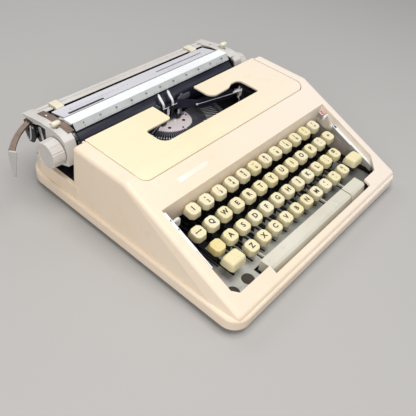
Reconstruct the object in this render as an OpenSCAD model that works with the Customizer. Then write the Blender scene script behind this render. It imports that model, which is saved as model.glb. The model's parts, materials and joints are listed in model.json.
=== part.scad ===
// Flat portable manual typewriter: body, keyboard, type basket and sliding carriage.
// X runs to the typist's right, Y to the rear, Z up. The origin is the middle of the four feet on the table.

/* [Body] */
// Width over the lower lip
body_w = 307; // [300:1:330]
// Depth over the lower lip
body_d = 290; // [284:1:310]
// Height of the flat top above the table
top_h = 78.5; // [76:0.5:84]
// Height of the sloping top at the front wall
front_h = 21; // [18:0.5:25]
// Where the flat top bends down towards the keys, behind the middle
bend_y = 1; // [-4:1:5]
// Height of the lower lip
lip_h = 12; // [8:1:16]
// How far the lower lip stands out from the walls
lip_out = 3; // [2:0.5:4]
// Wall of the moulded shell
wall = 2.6; // [2:0.2:3.2]
// Radius of the long top edges
edge_r = 5; // [4:0.5:7]
// Height of the rear deck below the carriage
deck_h = 34; // [32:0.5:37]
// Thickness of the base pan
pan_t = 1.6; // [1.2:0.2:2.4]
// Height of the rubber feet
foot_h = 4.4; // [3.5:0.1:6]
// Radius of the rubber feet
foot_r = 9; // [7:0.5:11]
// Radius of the fixing hole through each foot
bolt_r = 2.2; // [1.6:0.1:3]
// Feet in from the sides
foot_in_x = 28.5; // [22:0.5:34]
// Feet in from the front and rear
foot_in_y = 30; // [24:1:36]

/* [Ribbon cover] */
// Cover edge in from the side of the body
cover_in = 22; // [20:0.5:26]
// Cover front edge ahead of the bend
cover_lead = 8.5; // [6:0.5:11]
// Thickness of the cover
cover_t = 2.4; // [1.8:0.2:3]
// Seam between cover and shell
seam = 0.8; // [0.5:0.1:1.2]
// Half width of the wide part of the type opening
mouth_wide = 75; // [68:1:80]
// Middle of the wide part of the type opening
mouth_x = -2.5; // [-5:0.5:2]
// Half width of the part that reaches the platen
mouth_narrow = 32; // [28:1:35]
// Radius of the right corner where the two parts meet
mouth_r = 10; // [6:0.5:11]
// Radius of the left corner where the two parts meet
tongue_r = 4; // [3:0.5:6]
// Radius of the cover's front corners
cover_r = 10; // [6:0.5:12]
// Radius of the hinge pins
hinge_r = 1.5; // [1.2:0.1:1.8]

/* [Keyboard] */
// Distance between keys in a row, in a well of the standard width
key_pitch = 19; // [18.4:0.1:19.4]
// Radius of a key top at its base
key_r = 7.6; // [7:0.1:8.2]
// Height of a key top
key_tall = 7.3; // [6.5:0.1:8]
// Travel of a key
key_dip = 8; // [6:0.25:8.25]
// Distance between rows, front to back
row_step = 18.9; // [18.4:0.1:19.4]
// Rise from row to row
row_rise = 7.5; // [7.4:0.1:8.2]
// Lowest row behind the front edge
row_in = 44.7; // [44:0.1:47]
// Height of the lowest row's key tops
row_low = 29.1; // [29:0.1:31]
// Tilt of the key tops towards the typist
key_tilt = 8; // [4:1:8]
// Thickness of a key lever
lever_t = 1.2; // [0.8:0.1:1.4]
// Depth of a key lever
lever_deep = 3.2; // [2.4:0.1:3.2]
// Radius of the rod that all key levers turn on
rod_r = 2; // [1.6:0.1:2.4]
// Left end of the space bar
bar_left = -83.5; // [-86:0.5:-80]
// Right end of the space bar
bar_right = 65; // [60:0.5:67]
// Length of the repeat key beside the space bar
repeat_len = 29; // [26:0.5:31]
// Depth of the space bar, front to back
bar_deep = 14; // [11:0.5:16]
// Height of the space bar
bar_tall = 13; // [10:0.5:14]
// Width of a shift key
shift_w = 22; // [18:0.5:23]
// Depth of a shift key
shift_deep = 17; // [14:0.5:18]

/* [Type basket] */
// Middle of the type basket, left of the body's middle
basket_x = -9; // [-12:0.5:-5]
// Radius of the circle of typebar pivots
pivot_r = 31; // [29:0.5:32]
// Length of a typebar from its pivot
bar_len = 36; // [34.5:0.5:37]
// Angle between neighbouring typebars
bar_step = 4; // [4:0.1:4.1]
// Typebars on each side of the middle one
bar_side = 22; // [16:1:22]
// Thickness of a typebar
bar_t = 0.9; // [0.7:0.1:1]
// Tilt of the segment
seg_tilt = 4; // [2:1:5]
// Thickness of the segment
seg_t = 5; // [4.5:0.5:5]
// Radius of the posts that guide the shift
post_r = 1.7; // [1.4:0.1:1.9]

/* [Ribbon] */
// Radius of a ribbon spool
spool_r = 22.5; // [18:0.5:23]
// Height of a ribbon spool
spool_tall = 14; // [12:0.5:15]
// Height of the ribbon
ribbon_tall = 11; // [9:0.5:12]
// Thickness of the ribbon as modelled
ribbon_t = 0.4; // [0.3:0.1:0.5]

/* [Carriage] */
// Radius of the platen
platen_r = 15.5; // [14:0.1:16]
// Length of the platen
platen_len = 235; // [228:1:240]
// Radius of the platen shaft
shaft_r = 4; // [3:0.25:5]
// Carriage standing left of the middle, as photographed
carriage_x = -10; // [-40:1:40]
// Radius of the platen knobs
knob_r = 14.6; // [13:0.1:17.4]
// Length of a platen knob
knob_len = 13.7; // [10:0.1:18]
// Thickness of an end cover
end_t = 12.5; // [11:0.5:15]
// Thickness of the steel end plates and bed
plate_t = 2; // [1.5:0.1:2.4]
// Radius of the carriage rails
rail_r = 3; // [2.5:0.1:3.5]
// Radius of a feed roller
feed_r = 4; // [3.4:0.1:4.2]
// Height of the rear bar
bar_rear_h = 7; // [6:0.5:8]
// Depth of the rear bar
bar_rear_d = 12.5; // [11:0.5:14]
// Reach of the return lever from its pivot
lever_reach = 55; // [48:1:60]
// Direction of the return lever at rest
lever_angle = 215; // [205:1:218]
// Height of the return lever's finger tab
tab_tall = 29; // [16:1:31]

/* [Fits] */
// Radial clearance of a shaft in its bore
run = 0.05; // [0.02:0.01:0.1]
// Gap between pieces that slide past each other
slip = 0.4; // [0.3:0.05:0.5]

/* [Hidden] */
$fn = 48;
tiny = 0.01;

// Body planes
z0 = foot_h + pan_t;
y_front = -body_d / 2;
y_rear = body_d / 2;
wall_front = y_front + lip_out;
half_low = body_w / 2 - lip_out;
half_top = half_low - 3;
corner_front = 14;
corner_rear = 22;
slope = atan((top_h - front_h) / (bend_y - wall_front));
function slope_z(y) = top_h - (bend_y - y) * tan(slope);

// Carriage reference lines
platen_y = y_rear - 50;
platen_z = deck_h + 26;
top_rear = platen_y - 23;
bed_z = deck_h + 2.8;
bed_top = bed_z + plate_t;
bed_front = platen_y - platen_r + 0.5;
bed_rear = platen_y + 37;
rail_z = bed_z - 7.8;
rail_front_y = platen_y - 12.5;
rail_rear_y = platen_y + 31;
plate_in = platen_len / 2 + 4;
plate_out = plate_in + plate_t;
end_out = plate_out + end_t;
knob_in = end_out + 1;
feed_off = platen_r + feed_r + 0.3;
feed_angle = 35;
bar_rear_y = platen_y + 43;
bar_rear_top = platen_z + 13.5;
lever_pivot = [-(plate_out + 7.5), platen_y + 46];
lever_low = platen_z + 8.35;
lever_thick = 2.9;
bail_y = platen_y + 19;
bail_z = platen_z + platen_r - 1.5;
bail_pin_r = 1.5;

// Keyboard lines
well_half = body_w / 2 - 18.5;
well_standard = 135;
pitch = key_pitch * well_half / well_standard;
well_rear = row_y(3) + key_r + 1.2;
well_front = y_front + 19;
notch_front = y_front + 10.5;
notch_side = 1.5;
skirt_t = 2.4;
skirt_deep = 24;
lever_z = z0 + key_dip + 1;
lever_top = lever_z + lever_deep;
rod_y = platen_y - 29;
rod_z = lever_z + lever_deep / 2;
boss_r = rod_r + 2;
guide_top = z0 + 4.6;
guide_t = 1.4;
guide_rear = row_y(2);
bar_y = y_front + 16;
bar_z = z0 + 5;
repeat_left = bar_right + 1.5;
repeat_right = repeat_left + repeat_len;
bar_rod_r = 1.5;
bar_rod_y = rod_y - 21;
bar_rod_z = z0 + 4.5;
shift_rod_y = bar_rod_y - 25;
shift_rod_z = z0 + 3;
shift_y = row_y(0) + 2;
shift_top = row_low + 3;
arm_t = 1.6;

// Rows from the lowest up: first key, number of keys
upper_first = -5 * pitch;
number_first = upper_first - pitch / 3;
home_first = upper_first + pitch / 3;
lower_first = home_first + 0.547 * pitch;
row_first = [lower_first, home_first, upper_first, number_first];
row_count = [10, 11, 12, 12];
strike_index = 5;
function row_y(i) = y_front + row_in + i * row_step;
function row_z(i) = row_low + i * row_rise;
function key_x(i, k) = row_first[i] + k * pitch;

// Columns that the levers leave free take the arms of the other keys
arm_in = 0.068 * pitch;
bar_arms = [-3.5 * pitch - arm_in, 2.5 * pitch - arm_in];
repeat_arm = 4.5 * pitch - arm_in;
shift_arms = [-5.5 * pitch, 6.5 * pitch];
lock_x = home_first - pitch;
back_x = upper_first - pitch;

// Cover lines
cover_half = body_w / 2 - cover_in;
cover_front = bend_y - cover_lead;
hinge_y = top_rear - 6;
hinge_z = top_h - 5.5;
mouth_front = bend_y + 18.5;
mouth_step = bend_y + 44;
inner_wall = cover_half + seam;

// Frames
frame_in = body_w / 2 - 17.5;
frame_t = 2;
frame_top = top_h - 24.5;
frame_front = shift_rod_y - 40;

// Basket: the pivot circle is set so that every bar meets the platen's front
strike_y = platen_y - 16;
strike_z = platen_z + 4;
seg_rise = sqrt(bar_len * bar_len - pivot_r * pivot_r);
seg_y = strike_y - seg_rise * sin(seg_tilt);
seg_z = strike_z - seg_rise * cos(seg_tilt);
ring_in = pivot_r - 3.5;
ring_out = pivot_r + 3.5;
plate_low = -3;
plate_high = -1.2;
bar_rest = 4;
bar_deep_type = 3.2;
bar_below = 2.2;
pin_r = 0.8;
post_x = 12;
post_y = seg_y - 4;
foot_z = seg_z + 1;

// Ribbon
cup_z = frame_top;
cup_r = spool_r + 2.5;
spool_x = inner_wall - cup_r - 7.3;
spool_y = top_rear - 37;
ribbon_z = platen_z - 4;
ribbon_y = strike_y - 2.6;

// Helpers

// Cylinder along X
module xrod(x0, x1, y, z, r) {
  translate([x0, y, z]) rotate([0, 90, 0]) cylinder(h = x1 - x0, r = r);
}

// Outline in Y and Z, drawn out along X
module slab(x0, x1, points) {
  translate([x0, 0, 0]) rotate([90, 0, 90]) linear_extrude(x1 - x0) polygon(points);
}

// Box from corner to corner
module block(x, y, z) {
  translate([x[0], y[0], z[0]]) cube([x[1] - x[0], y[1] - y[0], z[1] - z[0]]);
}

// Upright block with round corners, r_front and r_rear
module round_block(x, y, z, r_front, r_rear) {
  tall = z[1] - z[0];
  for (sx = [0, 1]) {
    dx = sx == 0 ? 1 : -1;
    translate([x[sx] + dx * r_front, y[0] + r_front, z[0]]) cylinder(h = tall, r = r_front);
    translate([x[sx] + dx * r_rear, y[1] - r_rear, z[0]]) cylinder(h = tall, r = r_rear);
  }
  block([x[0] + r_front, x[1] - r_front], [y[0], y[0] + r_front + tiny], z);
  block([x[0] + r_rear, x[1] - r_rear], [y[1] - r_rear - tiny, y[1]], z);
  block(x, [y[0] + r_front, y[1] - r_rear], z);
}

// The carriage stands left of the middle
module on_carriage() { translate([carriage_x, 0, 0]) children(); }

// A point given from the platen axis
function near_platen(dy, dz) = [platen_y + dy, platen_z + dz];

// Segment frame: pivot circle in its XY plane
module on_segment() { translate([basket_x, seg_y, seg_z]) rotate([-seg_tilt, 0, 0]) children(); }
module on_basket() { translate([basket_x, 0, 0]) children(); }

// Body

// Tall front part of the shell, drawn in by an inset
module tall_form(inset) {
  r = edge_r - inset;
  base = inset > 0 ? -1 : 0;
  bend_c = bend_y + edge_r * tan(slope / 2);
  front_c = front_h + edge_r * tan(slope) - edge_r / cos(slope);
  hull() for (s = [-1, 1]) {
    translate([s * (half_top - edge_r), wall_front + edge_r, front_c]) sphere(r, $fn = 32);
    translate([s * (half_top - edge_r), bend_c, top_h - edge_r]) sphere(r, $fn = 32);
    translate([s * (half_top - edge_r), top_rear - edge_r, top_h - edge_r]) sphere(r, $fn = 32);
    translate([s * (half_low - corner_front), wall_front + corner_front, z0 + base])
      cylinder(h = 4, r = corner_front - inset, $fn = 32);
    translate([s * (half_low - edge_r), top_rear - edge_r, z0 + base])
      cylinder(h = 4, r = edge_r - inset, $fn = 32);
  }
}

// Plan of the keyboard opening, with the notch in front of the space bar
module well_plan() {
  right_cut = 14;
  polygon([
    [-well_half, well_rear], [-well_half, well_front + 6], [-well_half + 6, well_front],
    [bar_left - notch_side, well_front], [bar_left - notch_side, notch_front],
    [repeat_right + notch_side, notch_front], [repeat_right + notch_side, well_front],
    [well_half - right_cut, well_front], [well_half, well_front + right_cut], [well_half, well_rear]
  ]);
}

// Walls that hang from the edges of the keyboard opening
module well_skirts() {
  hang = 1;
  side = [
    [well_front + 6, slope_z(well_front + 6) - hang], [well_rear + skirt_t, slope_z(well_rear) - hang],
    [well_rear + skirt_t, slope_z(well_rear) - skirt_deep], [well_front + 6, slope_z(well_front) - 9]
  ];
  slab(-well_half - skirt_t, -well_half, side);
  slab(well_half, well_half + skirt_t, side);
  slab(-well_half, well_half, [
    [well_rear, slope_z(well_rear) - hang], [well_rear + skirt_t, slope_z(well_rear) - hang],
    [well_rear + skirt_t, slope_z(well_rear) - skirt_deep], [well_rear, slope_z(well_rear) - skirt_deep]
  ]);
  slab(bar_left - notch_side, repeat_right + notch_side, [
    [notch_front - skirt_t, z0 + 3], [notch_front, z0 + 3],
    [notch_front, slope_z(notch_front) - hang], [notch_front - skirt_t, slope_z(notch_front - skirt_t) - hang]
  ]);
}

// Walls and ledges round the ribbon bay
module bay_walls() {
  ledge = 3;
  ledge_top = top_h - cover_t - slip;
  bay_low = cup_z + 3.5;
  for (s = [0, 1]) mirror([s, 0, 0]) {
    slab(inner_wall, inner_wall + skirt_t, [
      [cover_front - seam - skirt_t, slope_z(cover_front - seam - skirt_t) - 1], [bend_y, top_h - 1],
      [top_rear, top_h - 1], [top_rear, bay_low], [cover_front - seam - skirt_t, bay_low]
    ]);
    block([inner_wall - ledge, inner_wall], [cover_front + 10, hinge_y - 9], [ledge_top - 2, ledge_top]);
  }
}

module base_pan() {
  color("dimgray") {
    difference() {
      round_block([-half_low, half_low], [wall_front, y_rear - lip_out], [foot_h, z0],
        corner_front, corner_rear);
      foot_holes();
    }
    bar_rod_ears();
  }
}

// Fixing holes through feet and pan
module foot_holes() {
  for (sx = [-1, 1], sy = [-1, 1])
    translate([sx * (body_w / 2 - foot_in_x), sy * (body_d / 2 - foot_in_y), -1])
      cylinder(h = z0 + 2, r = bolt_r);
}

// Ears on the pan that hold the pivot rod of the space bar
module bar_rod_ears() {
  ear_x = [bar_arms[0] - 6, bar_arms[1] + 6, repeat_arm + 6];
  difference() {
    for (x = ear_x)
      block([x - 1, x + 1], [bar_rod_y - 4, bar_rod_y + 4], [z0, bar_rod_z + bar_rod_r + 0.8]);
    xrod(ear_x[0] - 2, ear_x[2] + 2, bar_rod_y, bar_rod_z, bar_rod_r);
  }
}

module rubber_feet() {
  color("black") difference() {
    for (sx = [-1, 1], sy = [-1, 1])
      translate([sx * (body_w / 2 - foot_in_x), sy * (body_d / 2 - foot_in_y), 0])
        cylinder(h = foot_h, r = foot_r);
    foot_holes();
  }
}

module body_shell() {
  deck_low = top_rear - 12;
  deck_in = half_low - wall;
  color("#d9d3c2") difference() {
    union() {
      difference() {
        union() {
          round_block([-body_w / 2, body_w / 2], [y_front, y_rear], [z0, z0 + lip_h - 2],
            corner_front + lip_out, corner_rear + lip_out);
          round_block([-half_low - 1.5, half_low + 1.5], [y_front + 1.5, y_rear - 1.5],
            [z0 + lip_h - 2.5, z0 + lip_h], corner_front + 1.5, corner_rear + 1.5);
          tall_form(0);
          round_block([-half_low, half_low], [deck_low, y_rear - lip_out], [z0, deck_h], 4, corner_rear);
        }
        tall_form(wall);
        round_block([-deck_in, deck_in], [deck_low, y_rear - lip_out - wall], [0, deck_h - wall],
          2, corner_rear - wall);
        translate([0, 0, z0 + 1]) linear_extrude(top_h) well_plan();
        // Ribbon bay, open to the platen
        round_block([-inner_wall, inner_wall], [cover_front - seam, top_rear + 5], [deck_h, top_h + 1],
          cover_r + seam, 1);
        // Carriage well in the rear deck
        block([-frame_in - 3.5, frame_in + 3.5], [top_rear - 8, y_rear - 12], [z0, deck_h + tiny]);
      }
      well_skirts();
      bay_walls();
      lever_posts();
    }
    xrod(-inner_wall - 3, inner_wall + 3, hinge_y, hinge_z, hinge_r);
  }
}

// Stub pins for the two small levers at the sides of the well
module lever_posts() {
  for (s = [-1, 1])
    xrod(s > 0 ? well_half - 4.5 : -well_half - tiny, s > 0 ? well_half + tiny : -well_half + 4.5,
      side_lever_y(), side_lever_z(), 2);
}
function side_lever_y() = well_rear - 20;
function side_lever_z() = slope_z(side_lever_y()) - 12;

module ribbon_cover() {
  front_z = slope_z(cover_front);
  ear = 4;
  color("#ddd6bf") difference() {
    union() {
      intersection() {
        slab(-cover_half, cover_half, [
          [cover_front, front_z], [bend_y, top_h], [top_rear, top_h], [top_rear, top_h - cover_t],
          [bend_y, top_h - cover_t], [cover_front, front_z - cover_t]
        ]);
        round_block([-cover_half, cover_half], [cover_front, top_rear], [front_z - 9, top_h + 1], cover_r, 1);
      }
      for (s = [0, 1]) mirror([s, 0, 0])
        block([cover_half - 3.5, cover_half - 0.5], [hinge_y - ear, hinge_y + ear],
          [hinge_z - 3, top_h - cover_t + tiny]);
    }
    mouth();
    xrod(-cover_half - 1, cover_half + 1, hinge_y, hinge_z, hinge_r + run);
  }
}

// Type opening: a wide part over the typebars and a narrower one that reaches the platen
module mouth() {
  round_block([mouth_x - mouth_wide, mouth_x + mouth_wide], [mouth_front, mouth_step], [0, top_h + 1], 7, 5);
  block([basket_x - mouth_narrow, basket_x + mouth_narrow], [mouth_step - 8, top_rear + 1], [0, top_h + 1]);
  for (s = [0, 1]) on_basket() mirror([s, 0, 0]) {
    r = s == 0 ? mouth_r : tongue_r;
    difference() {
      block([mouth_narrow - tiny, mouth_narrow + r], [mouth_step - tiny, mouth_step + r], [0, top_h + 1]);
      translate([mouth_narrow + r, mouth_step + r, -1]) cylinder(h = top_h + 3, r = r);
    }
  }
}

module cover_hinge_pins() {
  color("silver") for (s = [0, 1]) mirror([s, 0, 0])
    xrod(cover_half - 5, inner_wall + skirt_t, hinge_y, hinge_z, hinge_r);
}

module side_frames() {
  color("gray") difference() {
    for (s = [0, 1]) mirror([s, 0, 0])
      slab(frame_in, frame_in + frame_t, [
        [frame_front, z0], [rail_rear_y + 6, z0], [rail_rear_y + 6, deck_h - 0.5],
        [top_rear - 8, deck_h - 0.5], [top_rear - 14, frame_top], [spool_y - 15, frame_top],
        [frame_front, z0 + 12]
      ]);
    xrod(-body_w, body_w, rod_y, rod_z, rod_r);
    xrod(-body_w, body_w, rail_front_y, rail_z, rail_r);
    xrod(-body_w, body_w, rail_rear_y, rail_z, rail_r);
    xrod(-body_w, body_w, shift_rod_y, shift_rod_z, bar_rod_r + run);
  }
}

module lever_fulcrum_rod() {
  color("silver") xrod(-frame_in - frame_t, frame_in + frame_t, rod_y, rod_z, rod_r);
}

module carriage_rails() {
  color("silver") for (y = [rail_front_y, rail_rear_y])
    xrod(-frame_in - frame_t, frame_in + frame_t, y, rail_z, rail_r);
}

module bar_pivot_rod() {
  color("silver") xrod(bar_arms[0] - 8, repeat_arm + 8, bar_rod_y, bar_rod_z, bar_rod_r);
}

module basket_posts() {
  color("silver") on_basket() for (s = [-1, 1])
    translate([s * post_x, post_y, z0]) cylinder(h = foot_z + 10 - z0, r = post_r);
}

// Keyboard

// One round key top, its upper face at z
module key_top(x, y, z) {
  translate([x, y, z]) rotate([key_tilt, 0, 0]) translate([0, 0, -key_tall])
    cylinder(h = key_tall, r1 = key_r, r2 = key_r - 0.8);
}

// Upright end of a lever that carries the key top
module key_post(x, y, z) {
  block([x - lever_t / 2, x + lever_t / 2], [y - 2.5, y + 2.5], [lever_top - tiny, z - key_tall + 3]);
}

// Key lever from its key to the fulcrum rod
module key_lever(x, y, z) {
  block([x - lever_t / 2, x + lever_t / 2], [y - 2.5, rod_y], [lever_z, lever_top]);
  key_post(x, y, z);
  xrod(x - lever_t / 2, x + lever_t / 2, rod_y, rod_z, boss_r);
}

// Which keys of row i belong to the row's own group
function row_keys(i) = [for (k = [0 : row_count[i] - 1]) if (i != 3 || k != strike_index) k];

module row_of_keys(i) {
  for (k = row_keys(i)) one_key(key_x(i, k), i);
}

module row_of_levers(i) {
  for (k = row_keys(i)) one_lever(key_x(i, k), i);
}

module one_key(x, i) {
  difference() {
    key_top(x, row_y(i), row_z(i));
    key_post(x, row_y(i), row_z(i));
  }
}

module one_lever(x, i) {
  difference() {
    key_lever(x, row_y(i), row_z(i));
    xrod(x - 3, x + 3, rod_y, rod_z, rod_r + run);
  }
}

module number_keys() { color("#e0d3a0") row_of_keys(3); }
module number_levers() { color("#3a3a3c") row_of_levers(3); }
module upper_keys() { color("#e0d3a0") row_of_keys(2); }
module upper_levers() { color("#3a3a3c") row_of_levers(2); }
module home_keys() { color("#e0d3a0") row_of_keys(1); }
module home_levers() { color("#3a3a3c") row_of_levers(1); }
module lower_keys() { color("#e0d3a0") row_of_keys(0); }
module lower_levers() { color("#3a3a3c") row_of_levers(0); }
module strike_key() { color("#e0d3a0") one_key(key_x(3, strike_index), 3); }
module strike_lever() { color("#3a3a3c") one_lever(key_x(3, strike_index), 3); }

// Function keys in the letter rows are moulded with their levers
module shift_lock_key() {
  color("#d8b36a") union() {
    one_lever(lock_x, 1);
    key_top(lock_x, row_y(1), row_z(1));
  }
}

module backspace_key() {
  color("#e0d3a0") union() {
    one_lever(back_x, 2);
    key_top(back_x, row_y(2), row_z(2));
  }
}

// Arm of a bar key from y to the pivot rod
module bar_arm(x, y) {
  block([x - arm_t / 2, x + arm_t / 2], [y, bar_rod_y], [z0 + 5.4, z0 + 7.9]);
  xrod(x - arm_t / 2, x + arm_t / 2, bar_rod_y, bar_rod_z, bar_rod_r + 1.8);
}

module bar_key(x0, x1, arms) {
  color("#b9b4a6") difference() {
    union() {
      slab(x0, x1, [
        [bar_y, bar_z], [bar_y + bar_deep, bar_z], [bar_y + bar_deep, bar_z + bar_tall],
        [bar_y + 2.5, bar_z + bar_tall], [bar_y, bar_z + bar_tall - 2]
      ]);
      for (x = arms) bar_arm(x, bar_y + bar_deep - tiny);
    }
    xrod(x0 - 5, x1 + 5, bar_rod_y, bar_rod_z, bar_rod_r + run);
  }
}

module space_bar() { bar_key(bar_left, bar_right, bar_arms); }
module repeat_key() { bar_key(repeat_left, repeat_right, [repeat_arm]); }

// Shift keys sit on two arms of one shaft
module shift_post(s) {
  x = shift_arms[s];
  block([x - arm_t / 2, x + arm_t / 2], [shift_y - 3, shift_y + 3], [z0 + 8, shift_top - 6]);
}

module shift_keys() {
  middle = [shift_arms[0] + 1, shift_arms[1] - 3.5];
  color("#e0d3a0") difference() {
    for (x = middle)
      round_block([x - shift_w / 2, x + shift_w / 2], [shift_y - shift_deep / 2, shift_y + shift_deep / 2],
        [shift_top - 9, shift_top], 4, 4);
    for (s = [0, 1]) shift_post(s);
  }
}

module shift_shaft() {
  color("#3a3a3c") {
    xrod(-frame_in - frame_t, frame_in + frame_t, shift_rod_y, shift_rod_z, bar_rod_r);
    for (s = [0, 1]) {
      x = shift_arms[s];
      slab(x - arm_t / 2, x + arm_t / 2, [
        [shift_y - 3, z0 + 8], [shift_y - 3, z0 + 11], [shift_rod_y + 2, z0 + 5], [shift_rod_y + 2, z0 + 2],
        [shift_rod_y - 3, z0 + 2]
      ]);
      shift_post(s);
    }
  }
}

// Guide plate under the lower rows, with a slot for each lever and arm
module keyboard_plate() {
  half = well_half - 3;
  front = well_front + 2;
  bar_clear = bar_y + bar_deep + 3;
  slot = lever_t / 2 + 0.8;
  hole_r = 6.5;
  color("#8d8d8b") {
    difference() {
      block([-half, half], [front, guide_rear], [guide_top - guide_t, guide_top]);
      block([bar_left - 3, repeat_right + 3], [front - 1, bar_clear], [0, top_h]);
      for (i = [0, 1, 2], k = row_keys(i)) lever_slot(key_x(i, k), row_y(i), slot);
      lever_slot(lock_x, row_y(1), slot);
      lever_slot(back_x, row_y(2), slot);
      for (x = shift_arms) lever_slot(x, shift_y, arm_t / 2 + 0.9);
      for (x = [bar_arms[0], bar_arms[1], repeat_arm]) lever_slot(x, bar_clear, arm_t / 2 + 0.9);
      for (x = [11, 33]) translate([x - half, front + hole_r + 2.5, 0]) cylinder(h = top_h, r = hole_r);
    }
    for (s = [-1, 1], y = [front + 4, guide_rear - 5])
      translate([s * (half - 4), y, z0]) cylinder(h = guide_top - guide_t - z0, r = 3.5);
    for (x = [bar_arms[0] + pitch, bar_arms[1] - pitch, repeat_arm - pitch])
      translate([x, bar_clear + 3.4, z0]) cylinder(h = guide_top - guide_t - z0, r = 2.4);
  }
}

module lever_slot(x, y, half) {
  block([x - half, x + half], [y - 5, guide_rear + 1], [0, top_h]);
}

// Small lever on a stub pin at the side of the well
module side_lever(tall) {
  y = side_lever_y();
  z = side_lever_z();
  tip = 13;
  difference() {
    union() {
      xrod(well_half - 3.6, well_half - 0.5, y, z, 4);
      slab(well_half - 3.6, well_half - 0.5, [
        [y - 3, z + 1], [y + 3, z - 2], [y + tall * 0.8 + 2, z + tall - 1], [y + tall * 0.8 - 2, z + tall + 1]
      ]);
      block([well_half - tip, well_half - 0.5], [y + tall * 0.8 - 2, y + tall * 0.8 + 2], [z + tall - 2, z + tall + 1]);
    }
    xrod(well_half - 6, well_half + 1, y, z, 2 + run);
  }
}

module touch_lever() { color("lightgray") mirror([1, 0, 0]) side_lever(11); }
module ribbon_lever() { color("white") side_lever(11); }

// Type basket

// One typebar at rest in its slot, with its type block
module typebar(tail) {
  translate([0, -pivot_r, 0]) rotate([bar_rest, 0, 0]) {
    block([-bar_t / 2, bar_t / 2], [-bar_len, tail], [-bar_below, bar_deep_type - bar_below]);
    block([-1.3, 1.3], [-bar_len, -bar_len + 5], [bar_deep_type - bar_below - tiny, bar_deep_type + 1]);
  }
}

function side_bars() = [for (i = [-bar_side : bar_side]) if (i != 0) i];

module typebars() {
  color("#4a4a4c") on_segment() for (i = side_bars()) rotate([0, 0, i * bar_step]) typebar(3.3);
}

module strike_typebar() {
  color("#4a4a4c") on_segment() difference() {
    typebar(2.2);
    xrod(-3, 3, -pivot_r, 0, pin_r + run);
  }
}

// Bores for the posts that guide the shift
module post_bores() {
  on_basket() for (s = [-1, 1]) translate([s * post_x, post_y, 0]) cylinder(h = top_h, r = post_r + run);
}

module type_segment() {
  web = 1.2;
  bridge = [post_y - seg_y - 5, post_y - seg_y + 3.5];
  color("#2d2d30") difference() {
    on_segment() {
      difference() {
        translate([0, 0, -seg_t]) cylinder(h = seg_t, r = ring_out, $fn = 96);
        translate([0, 0, -seg_t - 1]) cylinder(h = seg_t + 2, r = ring_in, $fn = 96);
        block([-ring_out - 1, ring_out + 1], [0, ring_out + 1], [-seg_t - 1, 1]);
        for (i = side_bars()) rotate([0, 0, i * bar_step])
          block([-bar_t / 2, bar_t / 2], [-ring_out - 1, -ring_in + 1], [-seg_t + web, 1]);
        block([-bar_t / 2 - slip, bar_t / 2 + slip], [-ring_out - 1, -ring_in + 1], [-seg_t + web, 1]);
      }
      xrod(-bar_t / 2 - slip - 0.2, bar_t / 2 + slip + 0.2, -pivot_r, 0, pin_r);
      block([-ring_in - 1, ring_in + 1], bridge, [-seg_t - 5, plate_low]);
    }
    post_bores();
  }
}

module segment_plate() {
  color("#b8b2b0") difference() {
    on_segment() {
      difference() {
        translate([0, 0, plate_low]) cylinder(h = plate_high - plate_low, r = ring_in, $fn = 96);
        block([-ring_in - 1, ring_in + 1], [0, ring_in + 1], [plate_low - 1, 1]);
      }
      for (a = [-60, -20, 20, 60]) rotate([0, 0, a])
        translate([0, -ring_in + 5, plate_high - tiny]) cylinder(h = 0.9, r = 1.8);
    }
    post_bores();
  }
}

// Ribbon

module ribbon_cups() {
  floor_t = 1.5;
  color("#55565a") for (s = [0, 1]) mirror([s, 0, 0]) {
    translate([spool_x, spool_y, cup_z]) {
      cylinder(h = floor_t, r = cup_r);
      difference() {
        cylinder(h = 6, r = cup_r);
        translate([0, 0, floor_t]) cylinder(h = 6, r = cup_r - 1);
      }
      cylinder(h = spool_tall, r = 2.5);
    }
    block([spool_x + cup_r - 2, frame_in + frame_t], [spool_y - 7, spool_y + 7], [cup_z, cup_z + floor_t]);
  }
}

module ribbon_spool(s) {
  low = cup_z + 1.5 + slip;
  translate([s * spool_x, spool_y, low]) difference() {
    union() {
      cylinder(h = 1, r = spool_r);
      cylinder(h = spool_tall, r = spool_r - 5);
      translate([0, 0, spool_tall - 1]) cylinder(h = 1, r = spool_r);
    }
    translate([0, 0, -1]) cylinder(h = spool_tall + 2, r = 2.5 + run);
  }
}

module ribbon_spool_left() { color("#222222") ribbon_spool(-1); }
module ribbon_spool_right() { color("#222222") ribbon_spool(1); }

// Flat band in front of the platen, with slanting runs towards the spools
module ribbon_band() {
  mid = 14;
  guide = mouth_narrow - 2;
  far = spool_x - cup_r - 3;
  line = [
    [-far, spool_y + 15], [basket_x - guide, top_rear - 10], [basket_x - mid, ribbon_y],
    [basket_x + mid, ribbon_y], [basket_x + guide, top_rear - 10], [far, spool_y + 15]
  ];
  last = len(line) - 1;
  color("#1c1c22") translate([0, 0, ribbon_z]) linear_extrude(ribbon_tall) polygon([
    for (p = line) p,
    for (i = [0 : last]) line[last - i] + [0, ribbon_t]
  ]);
}

// Lifts the ribbon at the printing point, sliding on the basket posts
module ribbon_vibrator() {
  foot_t = 3;
  color("silver") difference() {
    on_basket() {
      block([-post_x - 3.5, post_x + 3.5], [post_y - 3.2, ribbon_y], [foot_z, foot_z + foot_t]);
      for (s = [0, 1]) mirror([s, 0, 0])
        block([8, 12.5], [ribbon_y - 1, ribbon_y], [foot_z, ribbon_z + ribbon_tall + 4]);
    }
    post_bores();
  }
}

// Two bright fingers on the segment plate that hold the paper against the platen
module paper_fingers() {
  side = [post_x + 5, post_x + 10];
  front = ribbon_y + ribbon_t + 0.5;
  deep = 4.5;
  low = seg_z + plate_high * cos(seg_tilt) + deep * sin(seg_tilt) + tiny;
  color("silver") on_basket() for (s = [0, 1]) mirror([s, 0, 0]) {
    block(side, [seg_y - deep, front + 1], [low, low + 2.6]);
    block(side, [front, front + 1], [low, platen_z + platen_r + 1]);
  }
}

// Carriage

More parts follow.
